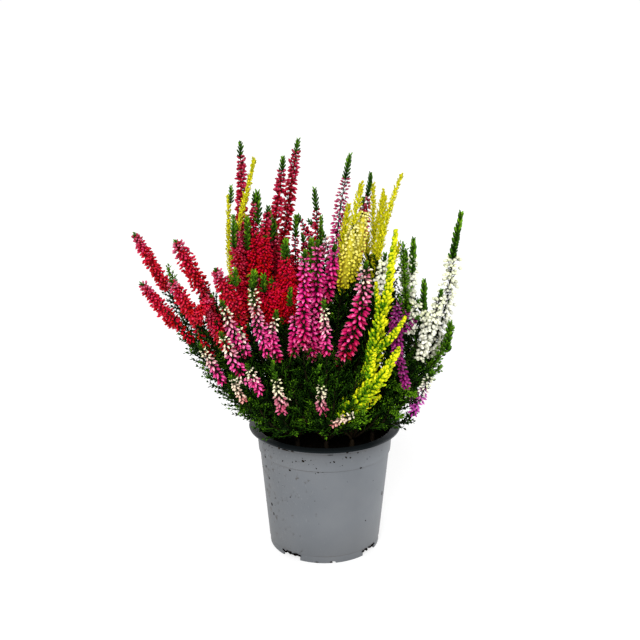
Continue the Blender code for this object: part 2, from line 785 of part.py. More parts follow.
def drum(name, radius, low, high, x, y, sides, home):
    """An upright round cutter."""
    bpy.ops.mesh.primitive_cylinder_add(
        vertices=sides, radius=radius * MM, depth=(high - low) * MM,
        location=(x * MM, y * MM, (low + high) / 2 * MM))
    return as_cutter(name, home)


def as_cutter(name, home):
    made = bpy.context.object
    made.name = name
    made.hide_render = True
    made.display_type = "WIRE"
    for group in made.users_collection:
        group.objects.unlink(made)
    home.objects.link(made)
    return made


def cut(body, cutters):
    hole = body.modifiers.new("cut", "BOOLEAN")
    hole.operation = "DIFFERENCE"
    hole.operand_type = "COLLECTION"
    hole.collection = cutters
    hole.solver = "EXACT"


def make_pot(home):
    pot = turned("pot", pot_profile(), POT_SIDES, "pot", home)
    cutters = collection("pot cutters")
    for index in range(NOTCHES):
        angle = -math.pi / 2 + NOTCH_TURN + index * math.tau / NOTCHES
        way_out = Vector((math.cos(angle), math.sin(angle), 0))
        bpy.ops.mesh.primitive_cube_add(size=1, rotation=(0, 0, angle),
                                        location=way_out * BASE_R * MM)
        notch = as_cutter(f"notch {index}", cutters)
        size = Vector((12 * MM, NOTCH_WIDE * MM, 2 * NOTCH_HIGH * MM))
        notch.data.transform(((size.x, 0, 0, 0), (0, size.y, 0, 0), (0, 0, size.z, 0), (0, 0, 0, 1)))
        nick_angle = -math.pi / 2 + NICK_TURN + index * math.tau / NOTCHES
        nick_out = Vector((math.cos(nick_angle), math.sin(nick_angle), 0))
        bpy.ops.mesh.primitive_cylinder_add(
            vertices=8, radius=NICK_R * MM, depth=10 * MM,
            location=nick_out * BASE_R * MM, rotation=(0, math.pi / 2, nick_angle))
        as_cutter(f"nick {index}", cutters)
    for index in range(DRAINS):
        angle = (index + 0.5) * math.tau / DRAINS
        drum(f"drain {index}", DRAIN_R, FLOOR_Z - 2, FLOOR_Z + WALL + 2,
             DRAIN_RING * math.cos(angle), DRAIN_RING * math.sin(angle), 8, cutters)
    cut(pot, cutters)
    pot.data.shade_smooth()
    pot.data.set_sharp_from_angle(angle=math.radians(35))


def make_soil(home):
    """Peat that fills the pot, with a plain hole for each trunk."""
    floor = FLOOR_Z + WALL + SOIL_CLEAR
    top_r = wall_radius(SOIL_Z) - WALL - SOIL_CLEAR
    profile = (
        (0, SOIL_Z + SOIL_CROWN), (top_r * 0.55, soil_height(top_r * 0.55)),
        (top_r, SOIL_Z),
        (COLLAR_R - WALL - SOIL_CLEAR, COLLAR_Z + 0.6),
        (wall_radius(COLLAR_Z - 2) - WALL - SOIL_CLEAR - 0.1, COLLAR_Z - 1.2),
        (wall_radius(floor + 4) - WALL - SOIL_CLEAR - 0.3, floor + 2.4),
        (wall_radius(floor) - WALL - 3.2, floor), (0, floor),
    )
    soil = turned("soil", profile, SOIL_SIDES, "soil", home)
    cutters = collection("soil cutters")
    for plant, (x, y) in PLANTS.items():
        drum(f"hole {plant}", TRUNK_R + HOLE_CLEAR, TRUNK_FOOT - HOLE_CLEAR, SOIL_Z + 20,
             x, y, 8, cutters)
    cut(soil, cutters)


def main():
    for old in list(bpy.data.objects):
        remove_object(old)
    home = collection("potted heather")
    strands = grow()
    make_sprays(strands, home)
    make_plants(strands, home)
    make_pot(home)
    make_soil(home)


main()
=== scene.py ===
"""Potted heather, the looks: budded spikes, leafy stems, peat and the nursery pot.

The frame's axes and size hold here: metres, +Z up, -Y the front. Lengths in the tables and
functions are millimetres until a mesh is made.
"""
import json
import math
import random
from collections import Counter, namedtuple
from itertools import chain

import bmesh
import bpy
import numpy as np
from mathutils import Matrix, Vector, noise

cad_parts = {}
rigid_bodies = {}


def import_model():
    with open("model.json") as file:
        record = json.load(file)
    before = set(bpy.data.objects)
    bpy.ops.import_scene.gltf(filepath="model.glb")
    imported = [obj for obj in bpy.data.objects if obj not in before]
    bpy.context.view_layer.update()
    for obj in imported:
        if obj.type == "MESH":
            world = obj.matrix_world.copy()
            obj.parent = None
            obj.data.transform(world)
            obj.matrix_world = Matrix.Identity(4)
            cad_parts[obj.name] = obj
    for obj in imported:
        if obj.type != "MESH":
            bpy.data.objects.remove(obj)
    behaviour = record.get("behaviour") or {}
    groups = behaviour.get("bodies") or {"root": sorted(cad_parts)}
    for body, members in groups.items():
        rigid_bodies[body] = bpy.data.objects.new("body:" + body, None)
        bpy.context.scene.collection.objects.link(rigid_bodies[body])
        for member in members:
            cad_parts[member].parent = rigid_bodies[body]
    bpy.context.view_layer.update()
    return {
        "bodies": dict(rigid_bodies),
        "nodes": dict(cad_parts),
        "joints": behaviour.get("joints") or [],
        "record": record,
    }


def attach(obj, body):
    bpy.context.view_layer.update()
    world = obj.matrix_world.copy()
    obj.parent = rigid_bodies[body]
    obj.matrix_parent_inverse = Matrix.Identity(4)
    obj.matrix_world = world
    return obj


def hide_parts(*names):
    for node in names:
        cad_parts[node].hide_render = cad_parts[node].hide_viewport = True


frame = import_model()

MM = 0.001

# Pot, as in the solids
POT_HEIGHT = 92.0
RIM_R = 55.0
RIM_EDGE = 0.9             # half the lip's thickness
RIM_HOLLOW = 3.8           # the curve under it
WALL = 1.2
WALL_TOP_R = 49.5
COLLAR_Z = 73.9
COLLAR_R = 48.1
COLLAR_STEP = 0.8
BASE_R = 40.8
FOOT_HEIGHT = 5.2
FLOOR_Z = 5.4
FOOT_WALL = 1.8
GATE_R = 6.0               # the mould's boss in the middle of the floor
POT_SIDES = 144
NOTCHES = 4
NOTCH_TURN = math.radians(53.5)
NOTCH_WIDE = 15.0
NOTCH_HIGH = 4.2
NOTCH_ROUND = 0.8
NICK_R = 1.7
NICK_TURN = math.radians(9)
DRAINS = 8
DRAIN_R = 3.2
DRAIN_RING = 27.0
SOIL_Z = 83.0
SOIL_CROWN = 2.0
SOIL_CLEAR = 0.3           # from the peat to the pot's wall and floor
SOIL_RINGS = 26
TRUNK_R = 2.2
TRUNK_FOOT = 76.0
# What each plant's low leaves take up round its trunk
MOUND_R = 7.0
MOUND_IN = 4.6             # and in the last of its height
MOUND_FOOT = 87.5
MOUND_TOP = 111.0
MOUND_TAPER = 5.0

# Growth
EYE = np.array((-3.4, -614.2, 329.7))   # where the plant is looked at from
SAMPLE = 5.0               # between points along a stem
WOOD_R = 1.2               # bare stem
LEAF_R = 4.2               # out to the leaf tips
SHOOT_R = 3.2              # and on a shoot
FULL = 30.0                # along a stem, where the leaves reach that far
FORK_Z = 92.0              # the highest stem leaves its trunk here
FORK_STEP = 1.6            # and the others a step or more lower
BARE = 20.0                # bare stretch of a stem, inside the mound
FULLER = 1.12              # a strand is this much wider than its florets
EXTRA_REACH = 70.0         # a short spike's stem comes from a stem nearer than this
EXTRA_DROP = 14.0          # and this much lower than its foot
SEED = 11
DRAW = np.random.default_rng(SEED)

# How the strands are bent clear of each other
CLEAR = 0.9                # kept between two plants' pieces
ROUNDS = 220
FREE_ROUNDS = 40           # at the end, when nothing draws a point back to its place any more
PULL_BACK = 0.985
STRIDE = 1.5               # the most that a point moves in a round
INWARD = 1.6               # they move apart more front to back than across
RIM_CLEAR = 0.6            # over the pot's rim and the soil
WATCH = 6.0                # pairs of points are watched from this far before they touch
WATCH_ROUNDS = 10          # and looked for again after so many rounds

# Where each plant is rooted
PLANTS = {
    "red_left": (-26, -8),
    "red_back": (-9, 12),
    "pink_left": (-19, -27),
    "pink_front": (1, -31),
    "pink_back": (6, -9),
    "yellow_front": (19, -28),
    "yellow_back": (16, 12),
    "white_right": (33, 2),
    "purple_right": (34, -15),
    "red_far": (-24, 27),
    "pink_far": (4, 33),
}

# A spray is a leafy stem's flowered end. Across and up are read on the upright plane through the
# pot's axis, as seen from EYE. The two depths are how far behind that plane its foot and tip lie.
# Its kind of bud, its palette and the length of its green leafy tip are its look. It may curve
# via other points and have more spikes: where on it, from 0 to 1, their tip and their width.
Spray = namedtuple("Spray", "name plant foot tip width depth kind palette leafy via spikes",
                   defaults=((), ()))
SPRAYS = (
    Spray("red_01", "red_left", (-110, 192), (-132, 231), 8.5, (-6, -12), "red", "rose", 3),
    Spray("red_02", "red_left", (-84, 188), (-104, 226), 10.5, (-26, -33), "red", "rose", 3),
    Spray("red_03", "red_left", (-104, 163), (-129, 196), 9.0, (-20, -28), "red", "rose", 3),
    Spray("red_04", "red_left", (-89, 165), (-108, 198), 9.5, (-40, -50), "red", "rose", 3,
          spikes=((0.05, (-79, 187), 8.0),)),
    Spray("red_05", "red_left", (-58, 166), (-77, 206), 11.0, (-38, -47), "red", "rose", 3),
    Spray("red_06", "red_back", (-57, 204), (-57, 293), 8.5, (8, 18), "dark", "dark_red", 10),
    Spray("red_07", "red_back", (-40, 210), (-28, 283), 8.5, (-2, 6), "dark", "dark_red", 9,
          via=((-32, 254),)),
    Spray("red_08", "red_back", (-30, 218), (-18, 295), 8.5, (18, 30), "dark", "dark_red", 9,
          via=((-25, 250), (-22, 271))),
    Spray("red_09", "red_back", (-6, 212), (-7, 262), 7.0, (4, 8), "thin", "dark_red", 15,
          spikes=((0.05, (-19, 244), 6.0), (0.3, (-12, 240), 5.0))),
    Spray("red_10", "yellow_back", (24, 214), (31, 272), 7.5, (24, 31), "thin", "dark_red", 16,
          spikes=((0.2, (26, 256), 6.0),)),
    Spray("red_11", "red_left", (-44, 202), (-48, 259), 8.0, (-14, -17), "dark", "dark_red", 7,
          spikes=((0.1, (-39, 250), 7.5),)),
    Spray("red_12", "red_left", (-29, 166), (-29, 223), 10.5, (-32, -40), "red", "red", 12,
          spikes=((0.05, (-45, 194), 7.0), (0.1, (-38, 199), 7.0))),
    Spray("pink_01", "pink_back", (4, 190), (17, 285), 10.0, (-8, -2), "slim", "thin_pink", 16,
          via=((9, 236), (12, 257))),
    Spray("pink_02", "pink_front", (-15, 147), (-14, 219), 8.5, (-50, -57), "pink", "pink", 4),
    Spray("pink_03", "pink_back", (-6, 146), (-5, 226), 9.0, (-33, -38), "pink", "pink", 4),
    Spray("pink_04", "pink_back", (1, 182), (7, 223), 8.5, (-24, -26), "pink", "pink", 4),
    Spray("pink_05", "pink_front", (2, 144), (-1, 183), 7.5, (-56, -64), "mini", "pink_white", 5),
    Spray("pink_06", "pink_front", (13, 140), (29, 211), 11.0, (-42, -48), "pink", "blush", 4,
          via=((25, 176),)),
    Spray("pink_07", "pink_front", (-38, 144), (-52, 198), 8.5, (-50, -58), "mini", "pink_white", 6,
          spikes=((0.05, (-34, 176), 7.0),)),
    Spray("pink_08", "pink_left", (-62, 148), (-73, 183), 8.5, (-50, -60), "mini", "pink_white", 5),
    Spray("pink_09", "pink_left", (-60, 125), (-74, 160), 9.0, (-54, -64), "mini", "pink_white", 4),
    Spray("pink_10", "pink_left", (-73, 122), (-90, 152), 7.5, (-38, -46), "mini", "pink_white", 5),
    Spray("pink_11", "pink_left", (-47, 114), (-56, 136), 8.0, (-54, -62), "mini", "pink_white", 4,
          spikes=((0.05, (-69, 127), 6.0),)),
    Spray("pink_12", "pink_left", (-32, 101), (-36, 130), 8.0, (-50, -59), "mini", "pale_pink", 5,
          spikes=((0.05, (-23, 116), 6.0),)),
    Spray("pink_13", "pink_front", (-2, 99), (-3, 126), 8.0, (-54, -64), "mini", "pale_pink", 6),
    Spray("yellow_01", "red_far", (-65, 192), (-66, 256), 5.0, (-10, -8), "yellow", "yellow", 0,
          spikes=((0.08, (-48, 281), 5.0),)),
    Spray("yellow_02", "yellow_back", (11, 185), (25, 265), 8.0, (-22, -16), "yellow", "yellow", 0,
          via=((19, 233),)),
    Spray("yellow_03", "yellow_back", (35, 206), (33, 264), 5.5, (6, 11), "yellow", "yellow", 0,
          spikes=((0.25, (40, 260), 4.5),)),
    Spray("yellow_04", "yellow_back", (37, 211), (52, 271), 6.0, (-14, -8), "yellow", "yellow", 0,
          via=((43, 243),)),
    Spray("yellow_05", "yellow_front", (20, 93), (49, 232), 9.0, (-38, -50), "yellow", "plume", 0,
          via=((36, 139), (42, 175)), spikes=((0.35, (57, 171), 6.0), (0.55, (36, 196), 5.0))),
    Spray("yellow_06", "yellow_front", (15, 87), (53, 147), 10.0, (-36, -64), "yellow", "plume", 0,
          via=((33, 118),), spikes=((0.05, (40, 112), 7.0), (0.45, (36, 146), 6.5))),
    Spray("white_01", "white_right", (77, 138), (90, 226), 10.5, (-8, -6), "white", "white", 12,
          via=((86, 180),)),
    Spray("white_02", "white_right", (67, 140), (82, 191), 7.5, (-28, -35), "white", "white", 6,
          spikes=((0.15, (71, 181), 6.0),)),
    Spray("white_03", "white_right", (59, 180), (61, 226), 7.0, (-12, -12), "white", "white", 11),
    Spray("white_04", "pink_back", (37, 186), (42, 217), 7.0, (-26, -29), "white", "white", 5),
    Spray("purple_02", "purple_right", (64, 98), (78, 132), 8.0, (-30, -40), "mini", "violet_white", 5,
          spikes=((0.05, (54, 121), 6.5),)),
    Spray("purple_01", "purple_right", (49, 148), (53, 185), 6.5, (-44, -52), "purple", "purple", 3,
          spikes=((0.1, (60, 178), 6.0), (0.05, (67, 172), 5.0))),
)

# Behind, where the front sprays hide them: rings of sprays with three spikes each
FarRing = namedtuple("FarRing", "turns foot_r foot_z tip_r tip_z")
FAR_RINGS = (
    FarRing((14, 50, 88, 126, 163), 60, 120, 84, 168),
    FarRing((38, 74, 108, 146), 36, 166, 54, 226),
)
# The kind and the plant of each, ring by ring
FAR_KINDS = (
    ("white", "white_right"), ("yellow", "yellow_back"), ("pink", "pink_far"),
    ("purple", "pink_far"), ("red", "red_far"),
    ("yellow", "yellow_back"), ("pink", "pink_far"), ("red", "red_far"), ("red", "red_far"),
)
FAR_FAN = 17.0             # from a far spray's middle spike to its neighbour's tip
FAR_SPIKES = ((0.04, -1, 9), (0.12, 1, 5))     # where on it, to which side, how much lower
FAR_WIDTH = 8.5

# Leafy shoots without flowers: plant, start and tip as across, up and depth
SHOOTS = (
    ("pink_left", (-50, 112, -30), (-62, 99, -34)),
    ("pink_left", (-40, 100, -38), (-50, 92, -44)),
    ("pink_front", (-10, 104, -40), (-18, 90, -44)),
    ("pink_front", (8, 108, -40), (4, 92, -46)),
    ("purple_right", (56, 118, -34), (66, 112, -46)),
    ("purple_right", (46, 104, -30), (55, 96, -42)),
    ("white_right", (76, 140, -10), (91, 164, -14)),
    ("white_right", (68, 116, 2), (84, 134, 6)),
    ("white_right", (48, 196, -12), (54, 224, -16)),
    ("yellow_back", (20, 205, 10), (9, 228, 12)),
    ("pink_back", (-14, 190, -12), (-16, 216, -20)),
    ("red_left", (-44, 176, -24), (-51, 203, -30)),
    ("red_left", (-66, 168, -18), (-66, 200, -22)),
    ("red_left", (-88, 172, -8), (-110, 207, 2)),
    ("red_left", (-56, 128, -22), (-82, 142, -26)),
    ("yellow_front", (24, 120, -46), (28, 104, -58)),
)

# Short spikes between the sprays, each in the piece of the spray that it is named after
Extra = namedtuple("Extra", "name foot tip width depth kind palette leafy")
EXTRAS = (
    ("red_11", (-60, 192), (-62, 238), 9, (-14, -20), "red", "dark_red", 7),
    ("red_11", (-55, 190), (-54, 240), 9, (-4, -8), "red", "dark_red", 8),
    ("red_11", (-50, 186), (-47, 231), 10, (-16, -18), "red", "red", 2),
    ("red_12", (-42, 184), (-41, 229), 10, (-24, -26), "red", "red", 2),
    ("red_07", (-35, 184), (-35, 240), 10, (-8, -6), "dark", "dark_red", 12),
    ("red_12", (-30, 184), (-27, 226), 9, (-20, -24), "red", "red", 12),
    ("red_12", (-57, 168), (-60, 199), 9, (-28, -30), "red", "red", 3),
    ("red_12", (-47, 170), (-50, 201), 9, (-33, -36), "red", "rose", 4),
    ("red_12", (-38, 166), (-42, 199), 9, (-34, -38), "red", "red", 6),
    ("red_12", (-24, 168), (-24, 206), 8, (-26, -28), "red", "red", 2),
    ("red_09", (-20, 196), (-20, 243), 7, (2, 0), "thin", "dark_red", 14),
    ("red_09", (-10, 196), (-10, 226), 8, (-6, -8), "red", "dark_red", 9),
    ("red_09", (-14, 176), (-15, 206), 8, (-16, -18), "thin", "red", 0),
    ("red_04", (-80, 142), (-92, 166), 7, (-30, -38), "thin", "red", 0),
    ("red_05", (-66, 140), (-77, 168), 8, (-34, -44), "thin", "red", 0),
    ("red_05", (-56, 142), (-61, 172), 8, (-36, -44), "thin", "red", 0),
    ("red_04", (-94, 152), (-112, 176), 7, (-26, -34), "thin", "red", 0),
    ("red_02", (-75, 166), (-86, 192), 9, (-22, -26), "red", "dark_red", 0),
    ("red_05", (-64, 162), (-70, 188), 9, (-24, -28), "red", "dark_red", 0),
    ("red_04", (-72, 150), (-82, 174), 9, (-34, -40), "red", "dark_red", 0),
    ("pink_02", (-22, 142), (-21, 172), 8, (-44, -48), "pink", "pink", 0),
    ("pink_03", (-10, 138), (-9, 176), 8, (-36, -40), "pink", "pink", 0),
    ("pink_06", (10, 134), (17, 165), 8, (-34, -38), "pink", "pink", 0),
    ("pink_07", (-34, 138), (-40, 166), 8, (-44, -50), "pink", "pink", 0),
    ("pink_08", (-56, 142), (-62, 164), 7, (-46, -52), "pink", "pink_white", 2),
    ("pink_11", (-58, 107), (-68, 127), 6, (-52, -58), "mini", "cream_pink", 2),
    ("pink_13", (5, 90), (22, 98), 6, (-49, -54), "mini", "cream_pink", 0),
    ("white_03", (57, 182), (56, 218), 7, (-8, -10), "white", "white", 8),
    ("white_02", (60, 158), (66, 184), 7, (-26, -30), "white", "white", 3),
    ("purple_01", (59, 118), (53, 144), 7, (-40, -46), "purple", "purple", 0),
    ("yellow_02", (13, 192), (20, 236), 10, (-26, -24), "small", "cream", 0),
    ("yellow_02", (18, 198), (27, 246), 10, (-16, -14), "small", "cream", 0),
    ("yellow_02", (10, 196), (16, 250), 8, (-12, -10), "yellow", "yellow", 0),
    ("yellow_04", (34, 196), (41, 256), 8, (-8, -4), "yellow", "yellow", 0),
    ("purple_01", (52, 138), (50, 172), 8, (-44, -46), "purple", "purple", 2),
)

# How each kind of bud looks: its form, length and width, whorl to whorl, buds in a whorl, how far
# it hangs, how many buds stand behind each other on a node's own short twig, how much wider than
# its strand the spike is, how small the topmost buds are, how wide a core in the buds' palette, with
# painted shade on it, is where the buds are too close to see between, and how much their hang varies
Kind = namedtuple("Kind", "form length width pitch ring hang deep fuller top core loose", defaults=(0, 10))
KINDS = {
    "red": Kind("small", 3.5, 1.8, 2.1, 7, 2, 2, 1.3, 0.9, 0.5, 17),
    "dark": Kind("small", 5.2, 2.2, 2.4, 6, -8, 1, 1.25, 0.85, 0.24, 20),
    "thin": Kind("small", 4.2, 1.8, 2.5, 5, -4, 1, 1.2, 0.8, 0, 17),
    "small": Kind("small", 2.6, 2.3, 2.1, 7, 6, 1, 1.15, 0.8, 0.62),
    "slim": Kind("long", 4.4, 2.0, 2.3, 5, 4, 1, 1.15, 0.6),
    "pink": Kind("long", 5.2, 2.3, 3.4, 6, 10, 1, 1.35, 0.6),
    "mini": Kind("long", 3.8, 1.8, 2.8, 5, 18, 1, 1.2, 0.6),
    "white": Kind("oval", 3.7, 2.5, 4.4, 5, 10, 2, 1.42, 0.9),
    "purple": Kind("long", 4.2, 2.1, 3.0, 6, 18, 1, 1.25, 0.75),
}

# What the sprays behind show: kind, palette and the length of the leafy tip
FAR_LOOKS = {
    "red": ("dark", "dark_red", 8), "pink": ("pink", "blush", 6), "white": ("white", "white", 9),
    "purple": ("purple", "purple", 4), "yellow": ("yellow", "yellow", 0),
}

# Colours up a spike, from its foot to its tip
PALETTES = {
    "red": ((0.0, (0.34, 0.001, 0.006)), (0.5, (0.60, 0.001, 0.008)), (1.0, (0.52, 0.004, 0.024))),
    "rose": ((0.0, (0.38, 0.001, 0.006)), (0.3, (0.62, 0.001, 0.012)), (0.75, (0.60, 0.001, 0.022)),
             (0.92, (0.50, 0.012, 0.060)), (1.0, (0.54, 0.09, 0.16))),
    "dark_red": ((0.0, (0.58, 0.001, 0.008)), (0.45, (0.52, 0.001, 0.018)),
                 (0.8, (0.46, 0.002, 0.034)), (1.0, (0.36, 0.012, 0.036))),
    "pink": ((0.0, (0.42, 0.001, 0.045)), (0.25, (0.64, 0.001, 0.130)), (0.8, (0.76, 0.010, 0.235)),
             (1.0, (0.70, 0.10, 0.27))),
    "blush": ((0.0, (0.44, 0.001, 0.030)), (0.2, (0.66, 0.001, 0.100)), (0.65, (0.76, 0.014, 0.19)),
              (0.85, (0.82, 0.24, 0.38)), (1.0, (0.84, 0.76, 0.52))),
    "thin_pink": ((0.0, (0.72, 0.01, 0.26)), (0.45, (0.64, 0.02, 0.22)), (0.75, (0.44, 0.02, 0.09)),
                  (1.0, (0.30, 0.02, 0.05))),
    "pink_white": ((0.0, (0.50, 0.003, 0.08)), (0.2, (0.76, 0.02, 0.22)), (0.52, (0.78, 0.09, 0.31)),
                   (0.68, (0.84, 0.46, 0.46)), (0.78, (0.90, 0.86, 0.64)), (1.0, (0.84, 0.86, 0.50))),
    "pale_pink": ((0.0, (0.68, 0.06, 0.18)), (0.35, (0.76, 0.20, 0.30)), (0.55, (0.82, 0.46, 0.42)),
                  (0.68, (0.90, 0.84, 0.58)), (1.0, (0.80, 0.82, 0.42))),
    "white": ((0.0, (0.76, 0.76, 0.56)), (0.4, (0.89, 0.89, 0.77)), (1.0, (0.84, 0.87, 0.60))),
    "cream": ((0.0, (0.60, 0.54, 0.01)), (0.4, (0.82, 0.74, 0.06)), (1.0, (0.92, 0.86, 0.30))),
    "cream_pink": ((0.0, (0.74, 0.16, 0.18)), (0.35, (0.86, 0.56, 0.44)), (1.0, (0.92, 0.88, 0.64))),
    "purple": ((0.0, (0.40, 0.012, 0.22)), (0.5, (0.26, 0.008, 0.15)), (1.0, (0.16, 0.010, 0.10))),
    "violet_white": ((0.0, (0.46, 0.03, 0.34)), (0.50, (0.58, 0.12, 0.44)), (0.68, (0.80, 0.70, 0.64)),
                     (1.0, (0.74, 0.84, 0.50))),
    "yellow": ((0.0, (0.016, 0.095, 0.002)), (0.3, (0.11, 0.33, 0.005)), (0.55, (0.60, 0.64, 0.006)),
               (1.0, (0.82, 0.76, 0.018))),
    "leaf": ((0.0, (0.002, 0.008, 0.001)), (0.4, (0.006, 0.027, 0.001)), (0.7, (0.036, 0.115, 0.004)),
             (1.0, (0.150, 0.360, 0.010))),
    "wood": ((0.0, (0.008, 0.005, 0.003)), (0.5, (0.018, 0.013, 0.006)), (1.0, (0.030, 0.036, 0.009))),
}
# By the first word of a spray's name, or the second of one behind
SLOTS = {"red": "red_buds", "pink": "pink_buds", "yellow": "yellow_leaves", "white": "white_buds",
         "purple": "purple_buds"}


# Where things are


def seen(across, up, depth):
    """The point at a depth behind the upright plane that shows at (across, up) from EYE."""
    on_plane = np.array((across, 0.0, up))
    return EYE + (on_plane - EYE) * (depth - EYE[1]) / -EYE[1]


def soil_height(radius):
    """The peat's surface, a little higher in the middle."""
    return SOIL_Z + SOIL_CROWN * (1 - min(radius / WALL_TOP_R, 1) ** 2)


def along(points):
    """How far along a line each of its points lies."""
    steps = np.linalg.norm(np.diff(points, axis=0), axis=1)
    return np.concatenate(((0.0,), np.cumsum(steps)))


def at(points, distances):
    """Points of a line at the given distances along it."""
    line = along(points)
    return np.stack([np.interp(distances, line, points[:, axis]) for axis in range(3)], axis=1)


def resampled(points, step):
    """A line with even steps of about this length."""
    length = along(points)[-1]
    count = max(2, round(length / step))
    return at(points, np.linspace(0, length, count + 1))


def smooth_line(corners):
    """A Catmull-Rom curve through a few points."""
    corners = [np.array(corner, float) for corner in corners]
    padded = [2 * corners[0] - corners[1], *corners, 2 * corners[-1] - corners[-2]]
    line = [corners[0]]
    for before, start, end, after in zip(padded, padded[1:], padded[2:], padded[3:]):
        for step in range(1, 9):
            t = step / 8
            line.append(0.5 * (2 * start + (end - before) * t
                               + (2 * before - 5 * start + 4 * end - after) * t ** 2
                               + (3 * start - before - 3 * end + after) * t ** 3))
    return np.array(line)


def bend(start, start_way, end, end_way):
    """A curve that leaves start and reaches end in the given directions."""
    pull = 0.42 * np.linalg.norm(end - start)
    near = start + start_way * pull
    far = end - end_way * pull
    line = []
    for step in range(13):
        t = step / 12
        line.append((1 - t) ** 3 * start + 3 * (1 - t) ** 2 * t * near
                    + 3 * (1 - t) * t ** 2 * far + t ** 3 * end)
    return np.array(line)


# Strands: the axes of stems, spikes and shoots


class Strand:
    """An axis with the width kept free round it, and what it grows from."""

    def __init__(self, row, plant, points, radii, parent=None, joined=0, foot=0.0, green=0, mound=False):
        self.row = row             # its spray's, or None for a leafy shoot or a mound
        self.plant = plant
        self.points = points
        self.radii = radii
        self.parent = parent       # the strand that it grows from
        self.joined = joined       # and the point of that strand
        self.foot = foot           # how far along the flowers start
        self.green = green         # how many of its points are the leafy stem's
        self.mound = mound


def spike_radius(share, width):
    """Half a spike's width at a share of its length: full low down, slim at the tip."""
    shape = np.interp(share, (0, 0.12, 0.6, 0.85, 1), (0.62, 0.95, 1, 0.68, 0.35))
    return FULLER * width / 2 * shape


def bud_reach(share, width):
    """How far out the buds stand: a spike ends more bluntly than its strand."""
    return width / 2 * np.interp(share, (0, 0.12, 0.6, 0.85, 1), (0.72, 1, 1, 0.86, 0.6))


def leaf_radius(distance, length):
    """Out to the leaf tips of a stem: bare at the trunk, full higher up, slim under the spray."""
    rise = min(FULL, length / 2)
    return np.interp(distance, (BARE / 2, rise, length - 12, length), (WOOD_R, LEAF_R, LEAF_R, 2.4))


def way(start, end):
    """The direction from one point to another."""
    return (end - start) / np.linalg.norm(end - start)


def grow_spray(row, corners, number):
    """The strand from a plant's trunk to a spray's tip."""
    x, y = PLANTS[row.plant]
    start = np.array((x, y, FORK_Z - FORK_STEP * (number % 4)))
    spike = smooth_line(corners)
    out = np.array((spike[0][0] - x, spike[0][1] - y, 0))
    up_way = np.array((0, 0, 1.0)) + 0.6 * out / (40 + np.linalg.norm(out))
    stem = bend(start, up_way / np.linalg.norm(up_way), spike[0], way(spike[0], spike[3]))
    foot = along(stem)[-1]
    points = resampled(np.concatenate((stem, spike[1:])), SAMPLE)
    line = along(points)
    share = (line - foot) / (line[-1] - foot)
    leafy = line < foot - 2
    radii = np.where(leafy, leaf_radius(line, foot), spike_radius(share, row.width))
    return Strand(row, row.plant, points, radii, foot=foot, green=int(leafy.sum()))


def grow_side(row, parent, joined, tip, width):
    """A spike or shoot that leaves another strand and turns up to its own tip."""
    start = parent.points[joined]
    forward = way(parent.points[joined - 1], parent.points[joined + 1])
    points = resampled(bend(start, (forward + way(start, tip)) / 2, tip, way(start, tip)), SAMPLE)
    line = along(points)
    radii = spike_radius(line / line[-1], width)
    return Strand(row, parent.plant, points, radii, parent=parent, joined=joined)


def near_sprays(rng):
    """The sprays in front: each row, the corners of its main spike and its other spikes."""
    for row in SPRAYS:
        depths = np.linspace(*row.depth, len(row.via) + 2)
        corners = [seen(*place, depth) for place, depth in zip((row.foot, *row.via, row.tip), depths)]
        spikes = []
        for where, tip, width in row.spikes:
            depth = row.depth[0] + (row.depth[1] - row.depth[0]) * where + rng.uniform(-9, 3)
            spikes.append((where, seen(*tip, depth), width))
        yield row, corners, spikes


def far_sprays(rng):
    """The sprays behind, in the same way."""
    turns = [(ring, turn) for ring in FAR_RINGS for turn in ring.turns]
    counts = Counter()
    for (kind, plant), (ring, turn) in zip(FAR_KINDS, turns):
        counts[kind] += 1
        angle = math.radians(turn + rng.uniform(-3, 3))
        out = np.array((math.cos(angle), math.sin(angle), 0))
        side = np.array((-math.sin(angle), math.cos(angle), 0))
        foot = ring.foot_r * out + (0, 0, ring.foot_z)
        tip = ring.tip_r * out + (0, 0, ring.tip_z + rng.uniform(-7, 7))
        spikes = [(where, tip + side * fan * FAR_FAN - (0, 0, drop), FAR_WIDTH)
                  for where, fan, drop in FAR_SPIKES]
        name = f"far_{kind}_{counts[kind]:02d}"
        yield Spray(name, plant, None, None, FAR_WIDTH, None, *FAR_LOOKS[kind]), (foot, tip), spikes


def grow():
    """Every strand of the plants, bent clear of each other."""
    rng = random.Random(SEED)
    strands = []
    for number, (row, corners, spikes) in enumerate(chain(near_sprays(rng), far_sprays(rng))):
        main = grow_spray(row, corners, number)
        strands.append(main)
        first = round(main.foot / SAMPLE)
        for where, tip, width in spikes:
            joined = first + 1 + round(where * (len(main.points) - 2 - first))
            strands.append(grow_side(row, main, joined, tip, width))
    strands += grow_shoots(strands)
    bend_clear(strands + [grow_mound(plant) for plant in PLANTS])
    return strands


def grow_mound(plant):
    """What a plant's mound of low leaves takes up."""
    heights = np.arange(MOUND_FOOT, MOUND_TOP, SAMPLE)
    points = np.array([(*PLANTS[plant], height) for height in heights])
    radii = np.where(heights < MOUND_TOP - MOUND_TAPER, MOUND_R, MOUND_IN)
    return Strand(None, plant, points, radii, green=len(points), mound=True)


def nearest_stem(strands, plant, place, points_of):
    """How near a plant's own stems come to a place, on which strand and at which of its points."""
    found = (math.inf, None, 0)
    for strand in strands:
        if strand.plant == plant and strand.parent is None:
            for index in points_of(strand):
                distance = np.linalg.norm(strand.points[index] - place)
                if distance < found[0]:
                    found = (distance, strand, index)
    return found


